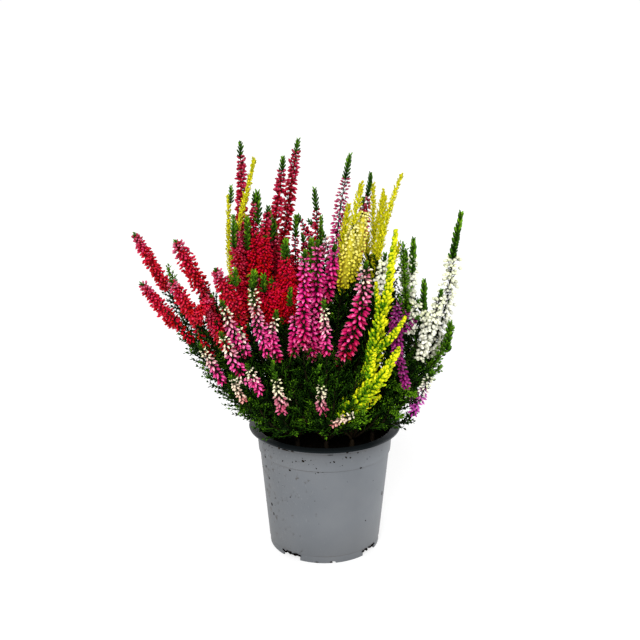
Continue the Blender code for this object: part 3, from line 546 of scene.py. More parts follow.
def grow_shoots(strands):
    """Leafy shoots, each from the nearest stem of its plant."""
    def below_flowers(strand):
        return range(3, max(4, int(strand.foot / SAMPLE) - 1))

    shoots = []
    for plant, start, tip in SHOOTS:
        _, parent, joined = nearest_stem(strands, plant, seen(*start), below_flowers)
        shoot = grow_side(None, parent, joined, seen(*tip), 2 * SHOOT_R / FULLER)
        shoot.green = len(shoot.points)
        shoots.append(shoot)
    return shoots


def bend_clear(strands):
    """Move the strands' points until no two plants' or sprays' pieces come near each other."""
    sizes = np.array([len(strand.points) for strand in strands])
    starts = np.concatenate(((0,), np.cumsum(sizes)))
    points = np.concatenate([strand.points for strand in strands])
    radii = np.concatenate([strand.radii for strand in strands])
    home = points.copy()
    owner = np.repeat(np.arange(len(strands)), sizes)
    place = np.arange(len(points)) - starts[owner]
    plants = np.array([list(PLANTS).index(strand.plant) for strand in strands])[owner]
    parents = np.array([strands.index(strand.parent) if strand.parent else -1 for strand in strands])
    mound = np.array([strand.mound for strand in strands])[owner]
    stem = (parents < 0)[owner] & ~mound
    fixed = mound | (stem & (place < 2))
    low = stem & (place < 5)
    green = place < np.array([strand.green for strand in strands])[owner]
    inner = np.nonzero((place > 0) & (place < sizes[owner] - 1) & ~fixed)[0]
    children = np.nonzero(parents >= 0)[0]
    joined = starts[parents[children]] + [strands[child].joined for child in children]

    def near_pairs():
        """Pairs of points that may touch, without those that belong together."""
        gaps = np.linalg.norm(points[:, None] - points[None], axis=2)
        need = radii[:, None] + radii[None] + CLEAR
        first, second = np.nonzero(np.triu(gaps < need + WATCH, 1))
        one, two = owner[first], owner[second]
        fused = (low[first] & low[second]) | mound[first] | mound[second]
        fused &= (plants[first] == plants[second]) & green[first] & green[second]
        family = (parents[one] == two) | (parents[two] == one)
        family |= (parents[one] == parents[two]) & (parents[one] >= 0)
        from_fork = np.minimum(np.where(parents[one] < 0, len(points), place[first]),
                               np.where(parents[two] < 0, len(points), place[second]))
        keep = (one != two) & ~fused & ~(family & (from_fork <= 2))
        return first[keep], second[keep]

    for turn in range(ROUNDS):
        if turn % WATCH_ROUNDS == 0:
            first, second = near_pairs()
            need = radii[first] + radii[second] + CLEAR
        apart = points[first] - points[second]
        gap = np.linalg.norm(apart, axis=1)
        push = np.clip(need - gap, 0, None) * 0.5
        shift = apart / np.maximum(gap, 0.01)[:, None] * push[:, None]
        shift[:, 1] *= INWARD
        moved = np.zeros_like(points)
        np.add.at(moved, first, shift)
        np.add.at(moved, second, -shift)
        moved[fixed] = 0
        points += np.clip(moved, -STRIDE, STRIDE)
        drift = points - home
        if turn < ROUNDS - FREE_ROUNDS:
            drift *= PULL_BACK
        eased = drift.copy()
        eased[inner] = 0.5 * drift[inner] + 0.25 * (drift[inner - 1] + drift[inner + 1])
        points[:] = home + eased
        points[starts[children]] = points[joined]
        lift_clear(points, radii, fixed)
    for strand, start, size in zip(strands, starts, sizes):
        strand.points = points[start:start + size].copy()


def lift_clear(points, radii, fixed):
    """Raise what would lie in the soil or the pot's rim."""
    reach = np.hypot(points[:, 0], points[:, 1])
    inside = reach + radii < WALL_TOP_R - 3
    floor = np.where(inside, SOIL_Z + SOIL_CROWN, POT_HEIGHT) + RIM_CLEAR
    beyond = reach - radii > RIM_R + 1
    low = (points[:, 2] < floor + radii) & ~fixed & ~beyond
    points[low, 2] = (floor + radii)[low]


# Small closed forms, each 1 long along +Y


def sleeve(rings, sides):
    """Triangles of a tube of some rings that ends in one more point, closed at its start."""
    faces = []
    for ring in range(rings - 1):
        for side in range(sides):
            here = ring * sides + side
            beside = ring * sides + (side + 1) % sides
            faces.append((here, beside, beside + sides))
            faces.append((here, beside + sides, here + sides))
    last = (rings - 1) * sides
    for side in range(sides):
        faces.append((last + side, last + (side + 1) % sides, rings * sides))
    for side in range(1, sides - 1):
        faces.append((0, side + 1, side))
    return np.array(faces)


Form = namedtuple("Form", "points faces")


def drop_form(rings, sides, droop):
    """A pointed drop through rings of (how far along, radius), with a slightly bent axis."""
    points = []
    for place, radius in rings:
        for side in range(sides):
            turn = -side * math.tau / sides
            points.append((radius * math.cos(turn), place, radius * math.sin(turn) - droop * place ** 2))
    points.append((0, 1, -droop))
    return Form(np.array(points), sleeve(len(rings), sides))


FORMS = {
    "long": drop_form(((0, 0.10), (0.20, 0.36), (0.44, 0.5), (0.76, 0.31)), 5, 0.10),
    "small": drop_form(((0, 0.14), (0.34, 0.46), (0.70, 0.42)), 4, 0.06),
    "oval": drop_form(((0, 0.20), (0.22, 0.42), (0.52, 0.5), (0.84, 0.36)), 5, 0.05),
}
BLADE = drop_form(((0, 0.16), (0.42, 0.5), (0.8, 0.36)), 3, -0.08)
LEAF = Form(np.array(((0, 0, 0), (-0.5, 0.56, -0.12), (0.5, 0.56, -0.12), (0, 1, 0.1))),
            np.array(((0, 2, 3), (0, 3, 1), (0, 1, 2), (3, 2, 1))))


# Lines


def unit(vectors):
    """Vectors brought to a length of 1."""
    return vectors / np.linalg.norm(vectors, axis=-1, keepdims=True)


def spokes(turns, radii=1.0, heights=0.0):
    """Points round the pot's axis."""
    parts = np.broadcast_arrays(radii * np.cos(turns), radii * np.sin(turns), heights)
    return np.stack(parts, axis=-1)


class Line:
    """A smooth axis that is read at any distance: its place, its way and one side of it."""

    def __init__(self, corners):
        self.points = smooth_line(corners)
        self.marks = along(self.points)
        self.length = self.marks[-1]
        self.ways = unit(np.gradient(self.points, axis=0))
        across = np.eye(3)[np.abs(self.ways.mean(axis=0)).argmin()]
        self.sides = unit(np.cross(self.ways, across))

    def read(self, distances):
        """Places, ways and sides at these distances."""
        found = []
        for values in (self.points, self.ways, self.sides):
            parts = [np.interp(distances, self.marks, values[:, axis]) for axis in range(3)]
            found.append(np.stack(parts, axis=-1))
        return found[0], unit(found[1]), unit(found[2])


def outward(ways, sides, turns):
    """The direction away from an axis at a turn round it."""
    turns = np.asarray(turns)[..., None]
    return sides * np.cos(turns) + np.cross(ways, sides) * np.sin(turns)


def pose(ways, faces):
    """Frames with +Y along ways and +Z as near faces as that allows."""
    faces = unit(faces - (faces * ways).sum(axis=-1, keepdims=True) * ways)
    return np.stack((np.cross(ways, faces), ways, faces), axis=-1)


def leaning(ways, outs, angle):
    """Frames of leaves that lean out from their stem's ways by an angle."""
    lean, rise = np.sin(angle), np.cos(angle)
    return pose(ways * rise + outs * lean, outs * rise - ways * lean)


# Heaps: many small forms in one piece


class Heap:
    """Small closed forms gathered into one mesh. Each point keeps its look: how far up its strand,
    how far along its own form, a random share and a tone."""

    def __init__(self):
        self.points = []
        self.faces = []
        self.looks = []
        self.skins = []
        self.count = 0
        self.petals = 0            # the material that a skin of 0 stands for

    def put(self, points, faces, share, rise, tone, skin):
        """Copies of one form, by their own points and the form's triangles."""
        count, each = points.shape[:2]
        looks = np.empty((count, each, 4))
        looks[..., 0] = share
        looks[..., 1] = rise
        looks[..., 2] = DRAW.random(count)[:, None]
        looks[..., 3] = np.broadcast_to(np.ravel(tone), count)[:, None]
        starts = self.count + np.arange(count) * each
        self.points.append(points.reshape(-1, 3))
        self.faces.append((faces[None] + starts[:, None, None]).reshape(-1, 3))
        self.looks.append(looks.reshape(-1, 4))
        self.skins.append(np.full(count * len(faces), skin or self.petals))
        self.count += count * each

    def add(self, form, places, frames, sizes, shares, tone=0.5, skin=0):
        """One copy of a form at each place, in its frame and size."""
        shaped = form.points[None] * sizes.reshape(-1, 1, 3)
        points = np.einsum("nij,nkj->nki", frames.reshape(-1, 3, 3), shaped)
        points += places.reshape(-1, 1, 3)
        self.put(points, form.faces, np.ravel(shares)[:, None], form.points[:, 1], tone, skin)

    def tubes(self, centres, radii, sides, share, skin=1, tone=0.5, top=1.0):
        """A pointed tube along each row of centres. The share may be a pair, from start to end."""
        count, each = centres.shape[:2]
        ways = unit(np.gradient(centres, axis=1))
        across = np.eye(3)[np.abs(ways.mean(axis=1)).argmin(axis=-1)]
        beside = unit(np.cross(ways, across[:, None]))
        turns = np.arange(sides) * math.tau / sides
        rings = outward(ways[:, :-1, None], beside[:, :-1, None], turns)
        rings = centres[:, :-1, None] + rings * np.asarray(radii)[..., None, None]
        points = np.concatenate((rings.reshape(count, -1, 3), centres[:, -1:]), axis=1)
        rise = np.linspace(0, top, points.shape[1])
        if isinstance(share, tuple):
            share = share[0] + (share[1] - share[0]) * rise
        self.put(points, sleeve(each - 1, sides), share, rise, tone, skin)

    def make(self, name, materials, slot, *nodes):
        """The piece itself, in the frame and in place of its nodes."""
        mesh = bpy.data.meshes.new(name)
        mesh.from_pydata(np.concatenate(self.points) * MM, [], np.concatenate(self.faces))
        mesh.polygons.foreach_set("material_index", np.concatenate(self.skins).astype(np.int32))
        look = mesh.attributes.new("look", "FLOAT_COLOR", "POINT")
        look.data.foreach_set("color", np.concatenate(self.looks).astype(np.float32).ravel())
        for material in materials:
            mesh.materials.append(material)
        mesh.shade_smooth()
        mesh.update()
        piece = bpy.data.objects.new(name, mesh)
        bpy.context.scene.collection.objects.link(piece)
        hand_in(piece, slot, *nodes)


def hand_in(piece, slot, *nodes):
    """Put a piece in the frame, in place of its nodes."""
    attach(piece, "root")
    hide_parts(*nodes)


# Foliage


Sprigs = namedtuple("Sprigs", "places ways curls lengths shares", defaults=(None,))
# Scale leaves of one sort: width, length, from one pair to the next, how far up the palette the
# lowest and the topmost are, how far those lean out in degrees, and the twig's share of the width
Leaves = namedtuple("Leaves", "width length pitch low high lean twig", defaults=((56, 24), 0.3))
BUD_LEAVES = Leaves(0.9, 2.1, 1.3, 0.1, 0.5)
STEM_LEAVES = Leaves(1.6, 3.3, 1.6, 0.05, 0.8)
SHOOT_LEAVES = Leaves(1.4, 3.1, 1.5, 0.3, 0.9)
MOUND_LEAVES = Leaves(1.3, 3.0, 1.5, 0.2, 0.95)
YELLOW_LEAVES = Leaves(1.3, 1.8, 0.9, 0.5, 1.0, (38, 24), 0.45)
# And of the pairs that stand on the stem itself
ON_STEM = Leaves(1.1, 2.7, 1.9, 0.2, 0.5, (50, 40))
ON_END = Leaves(1.3, 3.2, 1.3, 0.4, 0.9, (50, 26))
ON_SHOOT = Leaves(1.4, 3.4, 1.2, 0.4, 0.9, (48, 18))
ON_TIP = Leaves(1.7, 4.1, 1.35, 0.45, 0.75, (48, 26))
ON_YELLOW = Leaves(1.3, 1.9, 0.8, 0.6, 1.0, (34, 18))
SUNNY = np.array((0.62, -0.25, 0.74))      # the side of a plume that has turned yellow
CURL = 0.28                # a side shoot turns up towards its stem's way
KNOBS = np.array((0.6, 1.1, 0.75, 1.2, 0.75, 1.1, 0.8))     # a finger's rings of leaves
FINGER_R = 1.05
FINGER_LENGTHS = (0, 0.1, 0.4, 0.6, 0.78, 1), (5, 8.2, 7.6, 5.6, 3.8, 1.7)     # up a plume 9 wide
GOLDEN = math.radians(137.5)
CREAM_CORE = 0.5           # how far up its palette, and out of the painted shade at its base, a cream spike's core goes
BUD_WEIGHT = np.array((0, 0, 0.08))        # bends every bud down a little
BUD_FOOT = 0.3             # from the stem's axis to the nearest bud's foot
BUD_TWIG_R = 0.24
BUD_RISE = 1.1             # from one bud on a twig to the next
TOP_LIFT = 30.0            # degrees that the topmost buds point up


def sprigs_up(line, start, end, pitch, lean, longest):
    """Side shoots in a spiral up a line, one every pitch, that lean out by some degrees. longest gives
    their length for how far up they stand."""
    count = max(1, int((end - start) / pitch))
    shares = (np.arange(count) + DRAW.uniform(0.1, 0.9, count)) / count
    places, ways, sides = line.read(start + shares * (end - start))
    out = outward(ways, sides, np.arange(count) * GOLDEN + DRAW.uniform(-0.4, 0.4, count))
    leans = math.radians(lean) + DRAW.uniform(-0.2, 0.2, count)[:, None]
    lengths = longest(shares) * DRAW.uniform(0.75, 1.2, count)
    return Sprigs(places, unit(ways * np.cos(leans) + out * np.sin(leans)), ways, lengths, shares)


def spine(sprigs, marks):
    """Points up each side shoot, at shares of its length."""
    bent = sprigs.ways[:, None] * marks + CURL * sprigs.curls[:, None] * marks ** 2
    return sprigs.places[:, None] + sprigs.lengths[:, None, None] * bent


def leaf_sizes(length, leaves):
    """Width, length and thickness of leaves of one sort that are this long."""
    width = length * leaves.width / leaves.length
    return np.stack((width, length, width), axis=-1)


def clothe(heap, sprigs, leaves, tone=0.5):
    """Pairs of scale leaves up each side shoot, each pair across the one below, and its twig."""
    count = len(sprigs.places)
    steps = max(3, round(float(sprigs.lengths.mean()) / leaves.pitch))
    up = (np.arange(steps) + 0.5) / steps
    centres = spine(sprigs, up[:, None])
    ahead = unit(sprigs.ways[:, None] + 2 * CURL * sprigs.curls[:, None] * up[:, None])
    beside = unit(np.cross(ahead, np.eye(3)[np.abs(sprigs.ways).argmin(axis=-1)][:, None]))
    turns = DRAW.uniform(0, math.tau, count)[:, None] + np.arange(steps) * math.pi / 2
    angle = np.radians(np.interp(up, (0, 1), leaves.lean))[:, None]
    full = leaves.length * np.interp(up, (0, 0.2, 0.8, 1), (0.85, 1, 0.95, 0.75))
    share = np.broadcast_to(leaves.low + (leaves.high - leaves.low) * up, centres.shape[:2])
    tones = np.repeat(np.broadcast_to(tone, count), steps)
    for half_turn in (0, math.pi):
        frames = leaning(ahead, outward(ahead, beside, turns + half_turn), angle)
        sizes = leaf_sizes(full * DRAW.uniform(0.8, 1.2, centres.shape[:2]), leaves)
        heap.add(LEAF, centres, frames, sizes, share, tones)
    twig = spine(sprigs, np.linspace(0, 1, 4)[:, None])
    radii = np.full((count, 3), leaves.width * leaves.twig)
    heap.tubes(twig, radii, 3, (leaves.low + leaves.high) / 2, 0)


def leaf_pairs(heap, line, start, leaves, tone=0.5, form=LEAF, grown=1.0, end=None):
    """Pairs of scale leaves straight on a line, each pair across the one below."""
    span = (end or line.length) - start
    count = max(1, round(span / (leaves.pitch * grown)))
    up = (np.arange(count) + 0.5) / count
    places, ways, sides = line.read(start + up * span)
    angle = np.radians(np.interp(up, (0, 1), leaves.lean))[:, None]
    for half_turn in (0, math.pi):
        turns = 0.6 + np.arange(count) * math.pi / 2 + half_turn
        out = outward(ways, sides, turns + DRAW.uniform(-0.15, 0.15, count))
        full = leaves.length * grown * DRAW.uniform(0.85, 1.15, count)
        sizes = leaf_sizes(full * np.interp(up, (0, 0.7, 1), (1, 1, 0.7)), leaves)
        share = leaves.low + (leaves.high - leaves.low) * up
        heap.add(form, places, leaning(ways, out, angle), sizes, share, tone)


# Flowered spikes


def spike(flowers, greens, line, start, width, row):
    """One spike's stem, its whorls of buds with small leaves between them, and its leafy tip."""
    end = line.length - row.leafy
    marks = np.linspace(start, end, max(3, round((end - start) / 5)))
    stem = line.read(marks)[0][None]
    flowers.tubes(stem, np.linspace(0.65, 0.35, len(marks) - 1)[None], 5, 0.3)
    if row.kind == "yellow":
        yellow_leaves(flowers, line, start, end, width, row.palette == "plume")
        return
    kind = KINDS[row.kind]
    # The core takes the painted shade of a bud's base: fully on the red kinds, less on cream ones
    if kind.core:
        radii = bud_reach(np.linspace(0, 1, len(marks) - 1), width) * kind.core
        lit = CREAM_CORE if row.kind == "small" else 0.0
        flowers.tubes(stem, radii[None], 6, lit / 2, 0, 0.4, lit)
    whorls(flowers, line, start, end, width, kind)
    airy = kind.form == "oval"
    sprigs = sprigs_up(line, start, end, pitch=1.4 if airy else 2.4, lean=48,
                       longest=lambda share: (4.4 if airy else 3.4) - 1.2 * share)
    clothe(greens, sprigs, BUD_LEAVES)
    if row.leafy > 0:
        leafy_tip(greens, line, end - 2.0, np.interp(row.leafy, (3, 10), (0.75, 1.0)))


def whorls(flowers, line, start, end, width, kind):
    """Buds in whorls, some on short twigs: they hang low down and point up at the top."""
    span = end - start
    count = max(2, round(span / kind.pitch))
    rows = np.arange(count)[:, None]
    shape = (count, kind.ring)
    uneven = 0.34 if kind.form == "small" else 0.2     # how far a bud may stand from its whorl
    distances = start + (rows + 0.5 + DRAW.uniform(-uneven, uneven, shape)) * span / count
    shares = (distances - start) / span
    places, ways, sides = line.read(distances)
    turns = (rows * 0.5 + np.arange(kind.ring)) * math.tau / kind.ring
    out = outward(ways, sides, turns + DRAW.uniform(-0.3, 0.3, shape))
    hang = kind.hang * np.interp(shares, (0, 0.7, 1), (1.2, 0.85, 0.0))
    hang -= TOP_LIFT * np.clip(shares - 0.85, 0, 1) / 0.15
    hang = np.radians(hang + DRAW.normal(0, kind.loose, shape))[..., None]
    airy = kind.form == "oval"
    reach = bud_reach(shares * (0.82 if airy else 1), width) * kind.fuller
    reach *= DRAW.uniform(0.82, 1.12, shape)
    full = np.interp(shares, (0, 0.12, 0.55, 1), (0.9, 1, 1, kind.top))
    grown = kind.length * full * DRAW.uniform(0.85, 1.12, shape)
    length = np.clip(reach - 0.4, 0.5 * grown, grown)
    for depth in range(kind.deep):
        foot = np.maximum(reach - length * np.cos(hang[..., 0]), BUD_FOOT)
        if depth:
            foot *= 0.4 if airy else 0.25      # nearer the stem than the bud before
            out = outward(ways, sides, turns + math.pi / kind.ring)
        bud_way = unit(out * np.cos(hang) - ways * np.sin(hang) - BUD_WEIGHT)
        bases = places + out * foot[..., None]
        wide = kind.width * full ** 0.7 * DRAW.uniform(0.85, 1.15, shape)
        sizes = np.stack((wide, length, wide), axis=-1)
        flowers.add(FORMS[kind.form], bases, pose(bud_way, ways), sizes, shares)
        if not depth:
            twigs = np.stack((places - ways * 0.8, bases + bud_way * 0.4), axis=-2).reshape(-1, 2, 3)
            flowers.tubes(twigs, np.full((len(twigs), 1), BUD_TWIG_R), 3, 0.6)
        places = places + ways * BUD_RISE


def leafy_tip(heap, line, start, grown, tone=0.46):
    """Close pairs of leaves up to the end of a line."""
    leaf_pairs(heap, line, start, ON_TIP, tone, BLADE, grown, line.length - 1)
    stem = line.read(np.linspace(start + 1, line.length, 4))[0][None]
    heap.tubes(stem, np.array(((0.7, 0.65, 0.55),)) * grown, 5, 0.5, 0)


def fingers(heap, sprigs, tone):
    """Side shoots as rounded fingers of close scale leaves."""
    radii = FINGER_R * KNOBS * DRAW.uniform(0.85, 1.15, (len(sprigs.places), 1))
    heap.tubes(spine(sprigs, np.linspace(0, 1, len(KNOBS) + 1)[:, None]), radii, 5, (0.22, 0.8), 0, tone)


def yellow_leaves(heap, line, start, end, width, plume):
    """A yellow spray: leafy branchlets all the way up, longer low down. A plume's are long fingers,
    yellow on the side that faces up and out, green inside."""
    def longest(share):
        if plume:
            return (width / 9) ** 1.6 * np.interp(share, *FINGER_LENGTHS)
        return np.maximum(spike_radius(share, width) * 1.35 - 0.8, 1.3)

    sprigs = sprigs_up(line, start, end, pitch=0.42 if plume else 0.72, lean=46, longest=longest)
    aside = sprigs.ways - sprigs.curls * (sprigs.ways * sprigs.curls).sum(axis=-1, keepdims=True)
    facing = unit(aside) @ SUNNY
    if plume:
        fingers(heap, sprigs, 0.44 * facing + 0.40 * sprigs.shares - 0.08)
    else:
        clothe(heap, sprigs, YELLOW_LEAVES, 0.5 + 0.14 * facing)
    leaf_pairs(heap, line, start, ON_YELLOW)


def dress_sprays(strands, greens):
    """A piece of flowers for each spray, and its green leaves on its plant."""
    for main in strands:
        if main.row is None or main.parent:
            continue
        row = main.row
        flowers = Heap()
        palettes = [row.palette, "wood"]
        spike(flowers, greens[row.plant], Line(main.points), main.foot, row.width, row)
        for strand in strands:
            if strand.row is row and strand.parent:
                width = 2 * strand.radii.max() / FULLER
                shown = row._replace(leafy=min(row.leafy, 5))
                spike(flowers, greens[row.plant], Line(strand.points), 2.0, width, shown)
        for extra in map(Extra._make, EXTRAS):
            if extra.name == row.name:
                if extra.palette not in palettes:
                    palettes.append(extra.palette)
                flowers.petals = palettes.index(extra.palette)
                add_extra(flowers, greens[row.plant], strands, row.plant, extra)
        colour = row.name.removeprefix("far_").split("_")[0]
        flowers.make(f"flowers_{row.name}", map(skin, palettes), SLOTS[colour], f"spray_{row.name}")


def add_extra(flowers, greens, strands, plant, row):
    """A short spike on its own leafy stem, from the nearest stem of the plant below it."""
    foot, tip = seen(*row.foot, row.depth[0]), seen(*row.tip, row.depth[1])

    def below_foot(strand):
        heights = strand.points[3:-1, 2]
        return 3 + np.nonzero(foot[2] - heights > EXTRA_DROP)[0]

    distance, strand, index = nearest_stem(strands, plant, foot, below_foot)
    if distance < EXTRA_REACH:
        start, up_way = strand.points[index], way(strand.points[index - 1], strand.points[index + 1])
    else:
        start, up_way = np.array((*PLANTS[plant], FORK_Z)), np.array((0, 0, 1.0))
    dress_stem(greens, Line(bend(start, up_way, foot, way(foot, tip))), 3.0, 0.8)
    middle = (foot + tip) / 2 + way(start, foot) * 0.8
    spike(flowers, greens, Line([foot, middle, tip]), 0.0, row.width, row)


SPRIG_LENGTHS = (0, 0.25, 0.8, 1), (13, 14, 10, 6)     # up a stem
SPRIG_PITCH = 2.7          # from one side shoot to the next


def leaf_tones(count):
    """Most shoots dark and a few fresh ones lighter."""
    return 0.09 + 0.54 * DRAW.random(count) ** 3.5


def dress_stem(heap, line, start, size=1.0, pitch=SPRIG_PITCH):
    """A woody stem with side shoots and leaves of its own."""
    marks = np.linspace(0, line.length, max(4, round(line.length / 6)))
    heap.tubes(line.read(marks)[0][None], np.linspace(1.0, 0.6, len(marks) - 1)[None] * size, 5, 0.3)
    sprigs = sprigs_up(line, start, line.length - 1, pitch, lean=44,
                       longest=lambda share: size * np.interp(share, *SPRIG_LENGTHS))
    clothe(heap, sprigs, STEM_LEAVES, leaf_tones(len(sprigs.places)))
    leaf_pairs(heap, line, start, ON_STEM)


def dress_plants(strands, greens):
    """Each plant's leafy stems, shoots and low mound."""
    for plant, (x, y) in PLANTS.items():
        heap = greens[plant]
        trunk = np.array([(x, y, z) for z in np.linspace(TRUNK_FOOT, FORK_Z + 3, 4)])
        heap.tubes(trunk[None], np.array(((TRUNK_R, TRUNK_R * 0.9, TRUNK_R * 0.7),)), 7, 0.0)
        for strand in strands:
            if strand.plant == plant and strand.row is None:
                leafy_shoot(heap, Line(strand.points), 0.85)
            elif strand.plant == plant and strand.parent is None:
                marks = np.linspace(0, strand.foot, max(4, round(strand.foot / 5)))
                size, pitch = STEM_SIZE.get(strand.row.name, 1.0), STEM_PITCH.get(plant, SPRIG_PITCH)
                dress_stem(heap, Line(at(strand.points, marks)), 6.0, size, pitch)
        low_leaves(heap, plant, x, y)
        heap.make(f"greens_{plant}", [skin("leaf"), skin("wood")], "leaves", f"plant_{plant}")


def leafy_shoot(heap, line, tone):
    """A shoot with short side shoots and a clothed tip."""
    marks = np.linspace(0, line.length - 1, max(4, round(line.length / 5)))
    heap.tubes(line.read(marks)[0][None], np.linspace(0.6, 0.35, len(marks) - 1)[None], 4, 0.4)
    sprigs = sprigs_up(line, 1, line.length - 3, pitch=1.3, lean=42,
                       longest=lambda share: 7.0 - 4.0 * share)
    clothe(heap, sprigs, SHOOT_LEAVES, tone)
    leaf_pairs(heap, line, 1, ON_SHOOT, tone)


MOUND_SPRIGS = 26          # short shoots round a trunk
MOUND_LEANS = 25, 78       # degrees from upright
MOUND_FEET = 94, 108       # how high they start
MOUND_LENGTHS = 13, 21
FRESH_MOUND = 0.36         # how much lighter those are than a stem's
# From one side shoot to the next on the stems that show most
STEM_PITCH = {"pink_left": 1.8, "purple_right": 1.8, "red_left": 1.9, "pink_front": 2.2, "white_right": 2.0}
STEM_SIZE = {"purple_02": 0.5, "pink_11": 0.7, "pink_10": 0.5, "pink_09": 0.7,
             "red_01": 0.7, "red_03": 0.6, "red_04": 0.75}     # shorter side shoots
# Leafy shoots without flowers that fill each plant behind its flowers: how many, and how high
FILLERS = {
    "pink_left": (4, 112, 146), "pink_front": (6, 112, 156), "yellow_front": (5, 112, 146),
    "purple_right": (5, 112, 150), "red_left": (6, 118, 178), "pink_back": (7, 130, 198),
    "white_right": (4, 120, 160), "red_back": (7, 140, 222), "yellow_back": (7, 140, 222),
    "red_far": (8, 120, 190), "pink_far": (8, 120, 188),
}
# And where some of them end, as across, up and depth
FRONDS = {
    "red_left": ((-78, 152, -18), (-92, 160, -14), (-70, 140, -28), (-64, 160, -4), (-102, 172, -10)),
    "pink_left": ((-74, 126, -34), (-58, 112, -44), (-84, 140, -28), (-50, 108, -50), (-62, 132, -30)),
    "pink_front": ((-24, 120, -52), (8, 124, -52), (24, 128, -50), (-8, 132, -48)),
    "purple_right": ((66, 128, -20), (56, 114, -34), (56, 138, -24), (58, 168, -20), (48, 156, -24)),
    "white_right": ((74, 152, 2), (64, 166, -8), (84, 158, 6), (56, 188, 0), (50, 180, -6), (70, 176, 0)),
    "yellow_back": ((48, 188, 0), (30, 196, -4), (56, 174, -14), (22, 206, 4), (30, 208, 8), (38, 200, 2)),
    "pink_back": ((12, 192, -6), (-8, 190, 0), (24, 184, -10), (18, 198, -4), (4, 206, 2)),
    "red_back": ((-16, 208, 8), (-34, 212, 0), (-4, 206, 4), (-50, 208, 6), (3, 212, 10), (11, 210, 10)),
    "yellow_front": ((38, 126, -30), (30, 148, -30)),
}
# Fresh leafy tips among the flowers: plant, foot and tip as across and up, depth, size
FRESH = (
    ("red_back", (-3, 222), (-2.5, 243), -6, 0.85), ("red_left", (-27.5, 200), (-27, 226), -34, 1.25),
    ("red_back", (-9, 204), (-9, 227), -18, 1.15), ("red_left", (-63, 220), (-63, 243), -22, 1.0),
    ("red_left", (-53.5, 218), (-53.5, 243), -18, 1.1), ("red_left", (-46, 236), (-46, 260), -16, 1.2),
    ("red_left", (-38, 224), (-38, 246), -12, 1.1), ("red_left", (-64.5, 251), (-64, 264), -14, 0.8),
    ("red_left", (-62.5, 192), (-62.5, 206), -46, 1.0), ("red_left", (-49.5, 191), (-49.5, 205), -46, 1.1),
    ("red_left", (-43, 188), (-43, 202), -46, 1.0), ("red_left", (-51.5, 178), (-51.5, 197), -48, 0.9),
    ("red_left", (-25, 178), (-24, 192), -46, 0.9), ("white_right", (61, 202), (61.5, 227), -14, 1.1),
    ("white_right", (69, 174), (69.5, 198), -20, 1.2), ("white_right", (87, 144), (89, 168), -14, 1.3),
    ("white_right", (88.5, 212), (93.5, 245), -7, 1.3),
    ("pink_front", (-6, 128), (-3, 136), -58, 0.7), ("pink_left", (-38, 130), (-37, 139), -60, 0.7),
)


def low_leaves(heap, plant, x, y):
    """Short shoots round the trunk, and taller ones that fill the bush behind the flowers."""
    turns = np.arange(MOUND_SPRIGS) * GOLDEN + DRAW.uniform(0, math.tau)
    leans = np.radians(DRAW.uniform(*MOUND_LEANS, MOUND_SPRIGS))
    heights = DRAW.uniform(*MOUND_FEET, MOUND_SPRIGS)
    lengths = DRAW.uniform(*MOUND_LENGTHS, MOUND_SPRIGS)
    places = np.array([(x, y, height) for height in heights])
    upright = np.broadcast_to((0, 0, 1.0), places.shape)
    sprigs = Sprigs(places, spokes(turns, np.sin(leans), np.cos(leans)), upright, lengths)
    clothe(heap, sprigs, MOUND_LEAVES, leaf_tones(MOUND_SPRIGS) + FRESH_MOUND)
    for fresh_plant, foot, tip, depth, size in FRESH:
        if fresh_plant == plant:
            corners = [np.array(foot), (np.array(foot) + tip) / 2, np.array(tip)]
            leafy_tip(heap, Line([seen(*corner, depth) for corner in corners]), 0.0, size, 0.56)
    for end in FRONDS.get(plant, ()):
        leafy_stem(heap, x, y, seen(*end))
    count, lowest, highest = FILLERS[plant]
    for number in range(count):
        height = lowest + (highest - lowest) * (number + DRAW.random()) / count
        spread = spokes(number * GOLDEN + x, DRAW.uniform(8, 22))
        fan = np.array((x, y, 0)) * (height - FORK_Z) / 100 * DRAW.uniform(0.4, 1.1)
        leafy_stem(heap, x, y, (x, y, height) + spread + fan)


def leafy_stem(heap, x, y, end):
    """A stem without flowers from a plant's trunk, with its own leafy end."""
    start = np.array((x, y, FORK_Z - 2))
    middle = (start + end) / 2 + 0.2 * (end - start) * (1, 1, 0)
    line = Line([start, middle, end])
    dress_stem(heap, line, max(9, 0.25 * line.length), 0.95)
    leaf_pairs(heap, Line([(middle + end) / 2, (middle + 3 * end) / 4, end]), 0, ON_END)


# Pot and soil


def turned(name, profile, sides):
    """A body turned from a profile that runs down its outer side."""
    mesh = bpy.data.meshes.new(name)
    points = [(radius * MM, 0, height * MM) for radius, height in profile]
    mesh.from_pydata(points, [(i, i + 1) for i in range(len(points) - 1)], [])
    body = bpy.data.objects.new(name, mesh)
    bpy.context.scene.collection.objects.link(body)
    screw = body.modifiers.new("turn", "SCREW")
    screw.steps = sides
    screw.render_steps = sides
    screw.use_merge_vertices = True
    screw.merge_threshold = 1e-5
    settle(body)
    return body


def settle(body):
    """Apply the modifiers."""
    bpy.context.view_layer.update()
    graph = bpy.context.evaluated_depsgraph_get()
    mesh = bpy.data.meshes.new_from_object(body.evaluated_get(graph))
    body.modifiers.clear()
    body.data = mesh


def wall_radius(height):
    """Outside of the pot's wall: a collar under the rim, then an even taper to the foot."""
    if height >= COLLAR_Z:
        return float(np.interp(height, (COLLAR_Z, POT_HEIGHT), (COLLAR_R, WALL_TOP_R)))
    return float(np.interp(height, (0, COLLAR_Z), (BASE_R - 0.3, COLLAR_R - COLLAR_STEP)))


SOIL_TOP_R = wall_radius(SOIL_Z) - WALL - SOIL_CLEAR
RIM_FROM = 87.0            # the lip stands out from the wall above this


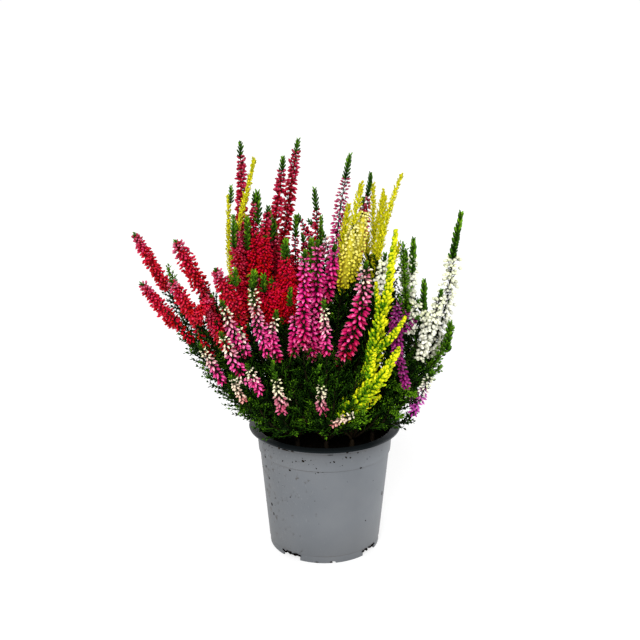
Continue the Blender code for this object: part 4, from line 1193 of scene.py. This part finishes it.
def arc(radius, height, size, start, end):
    """Points round a corner of the profile, by degrees from outward."""
    found = []
    for share in (0, 0.25, 0.5, 0.75, 1):
        turn = math.radians(start + (end - start) * share)
        found.append((radius + size * math.cos(turn), height + size * math.sin(turn)))
    return found


def pot_profile():
    """From the middle of the inner floor, up, over the rim, down the outside and in."""
    top = POT_HEIGHT
    floor = FLOOR_Z + WALL
    foot_r = wall_radius(0)
    collar_in = COLLAR_R - WALL
    under = top - 2 * RIM_EDGE - RIM_HOLLOW
    return [
        (0, floor), *arc(wall_radius(floor) - WALL - 1.5, floor + 1.5, 1.5, -90, 0),
        (wall_radius(40) - WALL, 40), (wall_radius(COLLAR_Z - 1) - WALL, COLLAR_Z - 1.0),
        (collar_in, COLLAR_Z + 0.4), (WALL_TOP_R - WALL, top - 1.6),
        *arc(WALL_TOP_R + 0.2, top - 1.4, 1.4, 180, 90),
        *arc(RIM_R - RIM_EDGE, top - RIM_EDGE, RIM_EDGE, 90, -90),
        *arc(wall_radius(under) + RIM_HOLLOW, under, RIM_HOLLOW, 90, 180),
        (COLLAR_R + 0.1, COLLAR_Z + 0.5), *arc(COLLAR_R - 0.4, COLLAR_Z + 0.2, 0.45, 10, -80),
        (wall_radius(COLLAR_Z - 0.6), COLLAR_Z - 0.5), (wall_radius(COLLAR_Z - 1.0), COLLAR_Z - 1.0),
        (wall_radius(50), 50), (wall_radius(25), 25),
        (wall_radius(FOOT_HEIGHT + 0.9), FOOT_HEIGHT + 0.9), (foot_r + 0.05, FOOT_HEIGHT + 0.2),
        (foot_r, FOOT_HEIGHT - 0.4), *arc(foot_r - 0.8, 0.8, 0.8, 0, -90),
        *arc(foot_r - FOOT_WALL + 0.3, 0.3, 0.3, -90, -180), (foot_r - FOOT_WALL - 0.3, FLOOR_Z),
        (GATE_R + 0.6, FLOOR_Z), (GATE_R, 0.3), (GATE_R - 0.3, 0), (0, 0),
    ]


def cutter(home):
    """Move the newest object into the collection that is cut away."""
    made = bpy.context.object
    for group in made.users_collection:
        group.objects.unlink(made)
    home.objects.link(made)
    return made


def drill(home, radius, depth, place, rotation=(0, 0, 0)):
    """A cylinder that cuts a round hole."""
    bpy.ops.mesh.primitive_cylinder_add(vertices=20, radius=radius * MM, depth=depth * MM,
                                        location=place * MM, rotation=rotation)
    cutter(home)


def foot_turns(first):
    """Even turns round the foot, from one that is counted from the front."""
    return [-math.pi / 2 + first + index * math.tau / NOTCHES for index in range(NOTCHES)]


def make_pot():
    """The pot, with its notched foot and its drain holes cut out."""
    pot = turned("nursery_pot", pot_profile(), POT_SIDES)
    home = bpy.data.collections.new("pot cutters")
    bpy.context.scene.collection.children.link(home)
    for turn, nick in zip(foot_turns(NOTCH_TURN), foot_turns(NICK_TURN)):
        bpy.ops.mesh.primitive_cube_add(size=1, rotation=(0, 0, turn), location=spokes(turn, BASE_R) * MM,
                                        scale=(12 * MM, NOTCH_WIDE * MM, 2 * NOTCH_HIGH * MM))
        rounded = cutter(home).modifiers.new("round", "BEVEL")
        rounded.width = NOTCH_ROUND * MM
        rounded.segments = 3
        drill(home, NICK_R, depth=10, place=spokes(nick, BASE_R), rotation=(0, math.pi / 2, nick))
    for index in range(DRAINS):
        turn = (index + 0.5) * math.tau / DRAINS
        drill(home, DRAIN_R, depth=5, place=spokes(turn, DRAIN_RING, FLOOR_Z + WALL / 2))
    cut = pot.modifiers.new("cut", "BOOLEAN")
    cut.operation = "DIFFERENCE"
    cut.operand_type = "COLLECTION"
    cut.collection = home
    cut.solver = "EXACT"
    settle(pot)
    for old in list(home.objects):
        bpy.data.objects.remove(old, do_unlink=True)
    bpy.data.collections.remove(home)
    finish_body(pot, plastic(), "pot", "pot")
    pot.data.set_sharp_from_angle(angle=math.radians(38))


def finish_body(body, material, slot, node):
    """Smooth and in its one material, in the frame."""
    body.data.shade_smooth()
    body.data.materials.clear()
    body.data.materials.append(material)
    hand_in(body, slot, node)


def crumb_form():
    """A rough lump from an icosphere."""
    form = bmesh.new()
    bmesh.ops.create_icosphere(form, subdivisions=1, radius=0.5)
    bmesh.ops.triangulate(form, faces=form.faces)
    points = [vert.co * (1 + 0.45 * noise.noise(vert.co * 3.1)) for vert in form.verts]
    faces = [[vert.index for vert in face.verts] for face in form.faces]
    form.free()
    return Form(np.array(points, float), np.array(faces))


def random_ways(count):
    """Directions all round."""
    return unit(DRAW.normal(size=(count, 3)))


CRUMBS = 900               # on the peat
SPECKS = 90                # on the pot's wall
SPECK_TURNS = (-62, -25, 20, 150)      # where most of them are, in degrees from the front
NOTCH_CRUMBS = 26          # in each notch of the foot
# Larger flecks on the pot: degrees from the front, height, length round the pot and width
FLECKS = (
    (-35, 90.4, 2.2, 3.0), (-33, 87.6, 8.0, 0.9), (-18, 81.2, 2.4, 2.0), (-31, 71.8, 2.0, 1.6),
    (-2, 73.6, 1.8, 1.2), (31, 74.0, 2.4, 1.2), (16, 90.2, 2.0, 1.8), (-61, 74.5, 1.8, 2.0),
    (-60, 58, 1.6, 2.4), (-60, 37, 1.8, 3.0), (-58, 30, 1.4, 2.6), (69, 43, 1.4, 4.0), (-64, 66, 1.2, 2.2),
    (-26, 88.2, 3.0, 0.8), (4, 86.8, 5.0, 0.6), (6.5, 1.0, 2.2, 1.4), (-8, 0.9, 2.6, 0.8),
)


def make_soil():
    """Peat with an uneven crumbly top."""
    floor = FLOOR_Z + WALL + SOIL_CLEAR
    tops = np.linspace(0, SOIL_TOP_R, SOIL_RINGS + 1)
    clear = WALL + SOIL_CLEAR
    profile = [
        *[(radius, soil_height(radius)) for radius in tops], (COLLAR_R - clear, COLLAR_Z + 0.6),
        (wall_radius(COLLAR_Z - 2) - clear - 0.1, COLLAR_Z - 1.2),
        (wall_radius(floor + 4) - clear - 0.3, floor + 2.4),
        (wall_radius(floor) - WALL - 3.2, floor), (0, floor),
    ]
    soil = turned("peat", profile, 96)
    for vert in soil.data.vertices:
        if vert.co.z > (SOIL_Z - 0.5) * MM:
            rough = noise.noise(vert.co * 160) * 1.3 + noise.noise(vert.co * 420) * 0.8
            vert.co.z += rough * MM
    finish_body(soil, peat(), "peat", "soil")


def make_crumbs():
    """Crumbs of peat that lie on it and cling to the pot."""
    lumps = Heap()
    form = crumb_form()
    soil_crumbs(lumps, form)
    wall_specks(lumps, form)
    for fleck in FLECKS:
        wall_fleck(lumps, form, *fleck)
    for middle in foot_turns(NOTCH_TURN):
        notch_crumbs(lumps, form, middle)
    lumps.make("crumbs", [peat(), peat("dry peat", 7.0)], "peat")


def soil_crumbs(lumps, form):
    """Lumps all over the peat, most of them small."""
    reach = SOIL_TOP_R * 0.98 * np.sqrt(DRAW.random(CRUMBS))
    turns = DRAW.uniform(0, math.tau, CRUMBS)
    size = 0.7 + 2.6 * DRAW.random(CRUMBS) ** 3
    heights = np.array([soil_height(radius) for radius in reach]) + size * 0.1
    sizes = np.stack((size, size * DRAW.uniform(0.8, 2.4, CRUMBS), size * 0.8), axis=-1)
    frames = pose(random_ways(CRUMBS), random_ways(CRUMBS))
    lumps.add(form, spokes(turns, reach, heights), frames, sizes, DRAW.random(CRUMBS))


def wall_specks(lumps, form):
    """Dry specks on the pot, most of them near its rim."""
    turns = DRAW.choice(SPECK_TURNS, SPECKS) + DRAW.normal(0, 22, SPECKS)
    turns = -math.pi / 2 + np.radians(turns)
    near_rim = DRAW.random(SPECKS) < 0.55
    heights = np.where(near_rim, DRAW.uniform(76, 87, SPECKS), DRAW.uniform(28, 86, SPECKS))
    radii = np.array([wall_radius(height) for height in heights])
    outs = spokes(turns)
    size = 0.4 + 0.9 * DRAW.random(SPECKS) ** 2.5
    sizes = np.stack((size, size * DRAW.uniform(0.8, 1.8, SPECKS), size * 0.5), axis=-1)
    frames = pose(unit(np.cross(outs, random_ways(SPECKS))), outs)
    lumps.add(form, spokes(turns, radii, heights), frames, sizes, DRAW.random(SPECKS), skin=1)


def wall_fleck(lumps, form, turn, height, long, wide):
    """A flat fleck that lies along the pot's wall or rim."""
    turn = math.radians(turn - 90)
    radius = wall_radius(height)
    if height > RIM_FROM:
        radius = np.interp(height, (RIM_FROM, 90.5), (wall_radius(RIM_FROM), RIM_R - 0.2))
    frame = pose(spokes(turn + math.pi / 2)[None], spokes(turn)[None])
    lumps.add(form, spokes(turn, radius, height), frame, np.array((wide, long, 0.7)), 0.0, skin=1)


def notch_crumbs(lumps, form, middle):
    """Dark lumps in the peat's material along the top of each notch in the foot."""
    turns = middle + DRAW.uniform(-0.2, 0.2, NOTCH_CRUMBS)
    places = spokes(turns, BASE_R - 0.4, DRAW.uniform(3.2, 4.5, NOTCH_CRUMBS))
    size = DRAW.uniform(1.0, 2.0, NOTCH_CRUMBS)
    sizes = np.stack((size * 0.8, size * 1.5, size * 0.8), axis=-1)
    lumps.add(form, places, pose(spokes(turns + math.pi / 2), spokes(turns)), sizes, 0.0)


# Materials


class Value:
    """A number or colour in a material's nodes. Arithmetic with it adds nodes."""

    def __init__(self, shading, socket):
        self.shading = shading
        self.socket = socket

    def __add__(self, other):
        return self.shading.math("ADD", self, other)

    def __sub__(self, other):
        return self.shading.math("SUBTRACT", self, other)

    def __rsub__(self, other):
        return self.shading.math("SUBTRACT", other, self)

    def __mul__(self, other):
        return self.shading.math("MULTIPLY", self, other)

    def __lt__(self, other):
        return self.shading.math("LESS_THAN", self, other)

    def __gt__(self, other):
        return self.shading.math("GREATER_THAN", self, other)

    def __abs__(self):
        return self.shading.math("ABSOLUTE", self)


class Shading:
    """A material under way: its node tree and short ways to add to it."""

    def __init__(self, name, roughness, specular=0.4):
        self.material = bpy.data.materials.new(name)
        self.material.use_nodes = True
        self.tree = self.material.node_tree
        self.inputs = self.tree.nodes["Principled BSDF"].inputs
        self.set(self.inputs["Roughness"], roughness)
        self.set(self.inputs["Specular IOR Level"], specular)

    def set(self, slot, value):
        """Give an input a number, a colour, a vector or another node's output."""
        if isinstance(value, Value):
            self.tree.links.new(value.socket, slot)
        elif isinstance(value, tuple) and len(slot.default_value) == 4:
            slot.default_value = (*value, 1)
        else:
            slot.default_value = value

    def node(self, kind, values=(), output=0, **settings):
        """A new node's output. values are for its inputs by name or number."""
        made = self.tree.nodes.new(kind)
        for key, value in settings.items():
            setattr(made, key, value)
        for key, value in dict(values).items():
            self.set(made.inputs[key], value)
        return Value(self, made.outputs[output])

    def look(self):
        """The look's parts: share, rise, random and tone."""
        source = self.node("ShaderNodeAttribute", attribute_name="look")
        outputs = source.socket.node.outputs
        split = self.node("ShaderNodeSeparateColor", {0: source}).socket.node.outputs
        return [Value(self, socket) for socket in (*split, outputs["Alpha"])]

    def math(self, operation, *numbers):
        return self.node("ShaderNodeMath", enumerate(numbers), operation=operation)

    def scaled(self, vector, factors):
        return self.node("ShaderNodeVectorMath", {0: vector, 1: factors}, operation="MULTIPLY")

    def places(self):
        """The piece's own places, and in millimetres their X, height and distance from its axis."""
        where = self.node("ShaderNodeTexCoord", output="Object")
        large = self.scaled(where, (1 / MM, 1 / MM, 1 / MM))
        split = self.node("ShaderNodeSeparateXYZ", {0: large}).socket.node.outputs
        level = self.scaled(large, (1, 1, 0))
        radius = self.node("ShaderNodeVectorMath", {0: level}, "Value", operation="LENGTH")
        return where, Value(self, split[0]), Value(self, split[2]), radius

    def between(self, source, start, end):
        """0 up to start, 1 from end on."""
        return self.node("ShaderNodeMapRange", {"Value": source, "From Min": start, "From Max": end})

    def ramp(self, source, *stops):
        """Colours by how high the source is."""
        made = self.node("ShaderNodeValToRGB", {0: source})
        elements = made.socket.node.color_ramp.elements
        while len(elements) < len(stops):
            elements.new(0.5)
        for element, (place, colour) in zip(elements, stops):
            element.position = place
            element.color = (*colour, 1)
        return made

    def noise(self, scale, detail=3.0, roughness=0.55, vector=None):
        """Noise over the piece's own places, so many per metre."""
        where = vector or self.node("ShaderNodeTexCoord", output="Object")
        values = {"Vector": where, "Scale": scale, "Detail": detail, "Roughness": roughness}
        return self.node("ShaderNodeTexNoise", values)

    def mix(self, share, first, second, blend="MIX"):
        return self.node("ShaderNodeMix", {0: share, 6: first, 7: second}, output=2,
                         data_type="RGBA", blend_type=blend)

    def bump(self, height, strength, distance):
        values = {"Height": height, "Strength": strength, "Distance": distance}
        self.set(self.inputs["Normal"], self.node("ShaderNodeBump", values))

    def colour(self, source):
        self.set(self.inputs["Base Color"], source)
        return self.material


def grey(tone):
    """A colour without a hue."""
    return tone, tone, tone


SKINS = {}
# How pale the palest bud's end is: partly the buds' own paler ends, partly a painted highlight
PALE_TIPS_AND_HIGHLIGHTS = {"pink": 0.42, "blush": 0.36, "thin_pink": 0.36, "pink_white": 0.3, "pale_pink": 0.2,
             "rose": 0.06, "dark_red": 0.12, "purple": 0.15}
PALE_TIP_AND_HIGHLIGHT = (0.95, 0.50, 0.70)
# Painted shade at the base of each form, where it sits close to its stem: deep on buds, light on leaves and
# bark
PAINTED_BUD_BASE_SHADE = (0.0, grey(0.34)), (0.3, grey(0.74)), (0.6, grey(1.0))
PAINTED_LEAF_BASE_SHADE = (0.0, grey(0.8)), (0.4, grey(1.0)), (1.0, grey(1.0))


def skin(palette):
    """The material of a palette, made the first time that it is asked for."""
    if palette not in SKINS:
        SKINS[palette] = petal(palette)
    return SKINS[palette]


def petal(palette):
    """Petals, leaves or bark: the palette up the strand, painted shade at the base of each form where it
    sits close to its stem, and each form a little lighter or darker than the next."""
    leafy = palette in ("leaf", "wood", "yellow", "plume")
    shading = Shading(palette, 0.6 if leafy else 0.5, 0.04 if leafy else 0.07)
    share, rise, own, tone = shading.look()
    where = share + (own * 0.24 - 0.12) + (rise * (0.2 if leafy else 0.1) - 0.05) + (tone * 0.8 - 0.4)
    if palette == "plume":
        where += shading.noise(850.0, 2.0) * 1.5 - 0.75
    base = shading.ramp(where, *PALETTES["yellow" if palette == "plume" else palette])
    # Painted shade towards each form's base
    shade = shading.ramp(rise, *(PAINTED_LEAF_BASE_SHADE if leafy else PAINTED_BUD_BASE_SHADE))
    base = shading.mix(1.0, base, shade, "MULTIPLY")
    # Paler bud ends: partly their own colour, partly a painted highlight
    if palette in PALE_TIPS_AND_HIGHLIGHTS:
        towards_tip = shading.ramp(rise, (0.45, grey(0)), (0.95, grey(1)))
        base = shading.mix(towards_tip * (own * PALE_TIPS_AND_HIGHLIGHTS[palette] + 0.02), base, PALE_TIP_AND_HIGHLIGHT)
    tint = {"Value": own * 0.55 + 0.72, "Hue": own * -0.010 + 0.504, "Color": base}
    fine = shading.noise(2600.0)
    tinted = shading.node("ShaderNodeHueSaturation", tint)
    shading.bump(fine, 0.25, 0.0002)
    return shading.colour(shading.mix(fine * 0.25, tinted, grey(0.7), "MULTIPLY"))


GREY = (0.3, (0.139, 0.153, 0.170)), (0.5, (0.157, 0.170, 0.187)), (0.7, (0.174, 0.185, 0.199))
LEFT_SHADE_FROM = -60.0        # painted shade: the pot is darker on its left and lighter at its far right; its colours by the metres from this X
LEFT_SHADE_STOPS = (0.012, (0.66, 0.66, 0.65)), (0.042, grey(0.77)), (0.082, grey(0.76)), (0.106, grey(1))
DUST = (0.055, 0.045, 0.035)
LIP_SHADE = (0.004, 0.006, 0.007)
FOOT_DIRT = (0.030, 0.028, 0.026)
# Painted shade on the lip's top and on the pot's inside above the peat
RIM_SHADE_COLOUR = (0.007, 0.009, 0.010)
SCRATCH = (0.30, 0.31, 0.32)
SEAM_DIRT = (0.050, 0.036, 0.026)
SEAMS = ((86.8, 0.12), (73.8, 0.28), (5.6, 0.28))      # height and half the width of a dirty line
# Where each of these begins and where it is full
SHADED_LIP_TOP = 89.9, 90.6
LESS_SHADE_SIDEWAYS = 30.0, 50.0     # from the pot's middle: less painted shade on the lip there
UNDER_LIP = 76.0, 89.6
NEAR_LIP = 87.6, 89.8
CLEAN_ABOVE = 2.0, 32.0


def plastic():
    """Grey moulded plastic with dust, scratches and dirty seams, and painted shade: on the lip's top,
    inside the rim, under the lip, and darker on its left and lighter at its far right.
    """
    shading = Shading("grey plastic", 0.48, 0.45)
    where, across, height, radius = shading.places()
    broad = shading.noise(24.0, 4.0)
    # More dirt near the rim and on the left
    dirt = shading.math("MAXIMUM", height * 0.014 - 1.02, across * -0.009 + 0.08) * 0.24
    specks = shading.ramp(shading.noise(190.0, 6.0, 0.7) + dirt, (0.66, grey(0)), (0.74, grey(1)))
    base = shading.mix(specks * 0.75, shading.ramp(broad, *GREY), DUST)

    # Painted shade: dark on the lip's top, less towards the sides, and inside the rim above the peat, with
    # no reflection or scratches there
    rim_shade_across = shading.between(abs(across), *LESS_SHADE_SIDEWAYS) * -0.75 + 1.0
    lip_top_shade = shading.between(height, *SHADED_LIP_TOP) * rim_shade_across
    inside = (radius < WALL_TOP_R - 1.1) * (height > SOIL_Z - 2.5)
    painted_rim_shade = shading.math("MAXIMUM", lip_top_shade, inside)
    under_lip = shading.between(height, *UNDER_LIP) * 0.38
    near_lip = shading.between(height, *NEAR_LIP) * 0.52 * rim_shade_across
    near_foot = 1.0 - shading.between(height, *CLEAN_ABOVE)
    # Painted shade across the pot: darker on the left, lighter at the far right
    left_shade = shading.ramp((across - LEFT_SHADE_FROM) * MM, *LEFT_SHADE_STOPS)
    base = shading.mix(under_lip + near_lip, base, LIP_SHADE)
    base = shading.mix(1.0, base, left_shade, "MULTIPLY")
    base = shading.mix(near_foot * 0.24, base, FOOT_DIRT)
    base = shading.mix(painted_rim_shade, base, RIM_SHADE_COLOUR)
    shading.set(shading.inputs["Specular IOR Level"], painted_rim_shade * -0.42 + 0.42)

    streaks = shading.noise(1500.0, 3.0, vector=shading.scaled(where, (1, 1, 0.22)))
    worn = shading.ramp(streaks + dirt, (0.70, grey(0)), (0.80, grey(1)))
    base = shading.mix(worn * (1.0 - painted_rim_shade) * 0.30, base, SCRATCH)
    patchy = shading.ramp(broad, (0.35, grey(0.15)), (0.6, grey(0.6)))
    for middle, half in SEAMS:
        base = shading.mix((abs(height - middle) < half) * patchy, base, SEAM_DIRT)
    shading.bump(shading.noise(700.0, 4.0), 0.12, 0.0003)
    return shading.colour(base)


PEAT = (0.3, (0.0008, 0.0007, 0.0005)), (0.6, (0.003, 0.0022, 0.0016)), (0.8, (0.016, 0.010, 0.006))


def peat(name="moist peat", pale=1.0):
    """Nearly black grains, paler where they are dry."""
    if name not in SKINS:
        shading = Shading(name, 1.0, 0.0)
        grain = shading.noise(420.0, 6.0, 0.7)
        shading.bump(grain, 0.8, 0.0012)
        stops = [(stop, [pale * part for part in colour]) for stop, colour in PEAT]
        SKINS[name] = shading.colour(shading.ramp(grain, *stops))
    return SKINS[name]


# Stage, light and camera


FLOOR_R = 60.0             # metres
FLOOR_GLOW = 0.66          # the floor is lit from under it too


def make_stage():
    """A wide pale floor."""
    bpy.ops.mesh.primitive_circle_add(vertices=96, radius=FLOOR_R, fill_type="NGON", location=(0, 0, 0))
    floor = bpy.context.object
    floor.name = "floor"
    shading = Shading("pale floor", 0.7, 0.1)
    shading.set(shading.inputs["Emission Color"], (1.0, 1.0, 1.0))
    shading.set(shading.inputs["Emission Strength"], FLOOR_GLOW)
    tone = shading.ramp(shading.noise(3.0), (0.3, grey(0.38)), (0.7, grey(0.40)))
    floor.data.materials.append(shading.colour(tone))


def make_world():
    """A pale room: bright all round, dimmer overhead."""
    world = bpy.data.worlds.new("room")
    world.use_nodes = True
    tree = world.node_tree
    where = tree.nodes.new("ShaderNodeTexCoord")
    parts = tree.nodes.new("ShaderNodeSeparateXYZ")
    ramp = tree.nodes.new("ShaderNodeValToRGB")
    tree.links.new(where.outputs["Generated"], parts.inputs[0])
    tree.links.new(parts.outputs[2], ramp.inputs[0])
    tree.links.new(ramp.outputs[0], tree.nodes["Background"].inputs["Color"])
    ramp.color_ramp.elements[0].position = WALL_GLOW_TOP
    ramp.color_ramp.elements[0].color = (*[WALL_GLOW] * 3, 1)
    ramp.color_ramp.elements[1].position = CEILING_FROM
    ramp.color_ramp.elements[1].color = (*[CEILING_GLOW] * 3, 1)
    bpy.context.scene.world = world
    bpy.context.scene.view_settings.view_transform = "Standard"


WALL_GLOW = 1.02
CEILING_GLOW = 0.36
WALL_GLOW_TOP = 0.12
CEILING_FROM = 0.3

Sun = namedtuple("Sun", "name turn height angle strength")
SUNS = (
    Sun("key", 10, 36, 32, 2.6),
    Sun("right", -62, 28, 50, 0.7),
    Sun("back", 165, 48, 70, 0.9),
)


def make_lamps():
    """Broad soft lights: a turn is counted from the front towards the left."""
    for row in SUNS:
        light = bpy.data.lights.new(row.name, "SUN")
        light.energy = row.strength
        light.angle = math.radians(row.angle)
        holder = bpy.data.objects.new(row.name, light)
        turn, height = math.radians(row.turn), math.radians(row.height)
        from_light = -Vector(spokes(-math.pi / 2 - turn, math.cos(height), math.sin(height)))
        holder.rotation_euler = from_light.to_track_quat("-Z", "Y").to_euler()
        bpy.context.scene.collection.objects.link(holder)


FOCAL = 50.44              # on a 36 mm sensor
PITCH = math.radians(14.68)


def make_camera():
    """The view from EYE, level from side to side."""
    camera = bpy.data.cameras.new("camera")
    camera.lens = FOCAL
    camera.sensor_width = 36
    camera.clip_end = 200
    holder = bpy.data.objects.new("camera", camera)
    holder.location = EYE * MM
    holder.rotation_euler = (math.pi / 2 - PITCH, 0, 0)
    bpy.context.scene.collection.objects.link(holder)
    bpy.context.scene.camera = holder


def main():
    make_camera()
    make_world()
    make_lamps()
    make_stage()
    strands = grow()
    greens = {plant: Heap() for plant in PLANTS}
    dress_sprays(strands, greens)
    dress_plants(strands, greens)
    make_pot()
    make_soil()
    make_crumbs()


main()
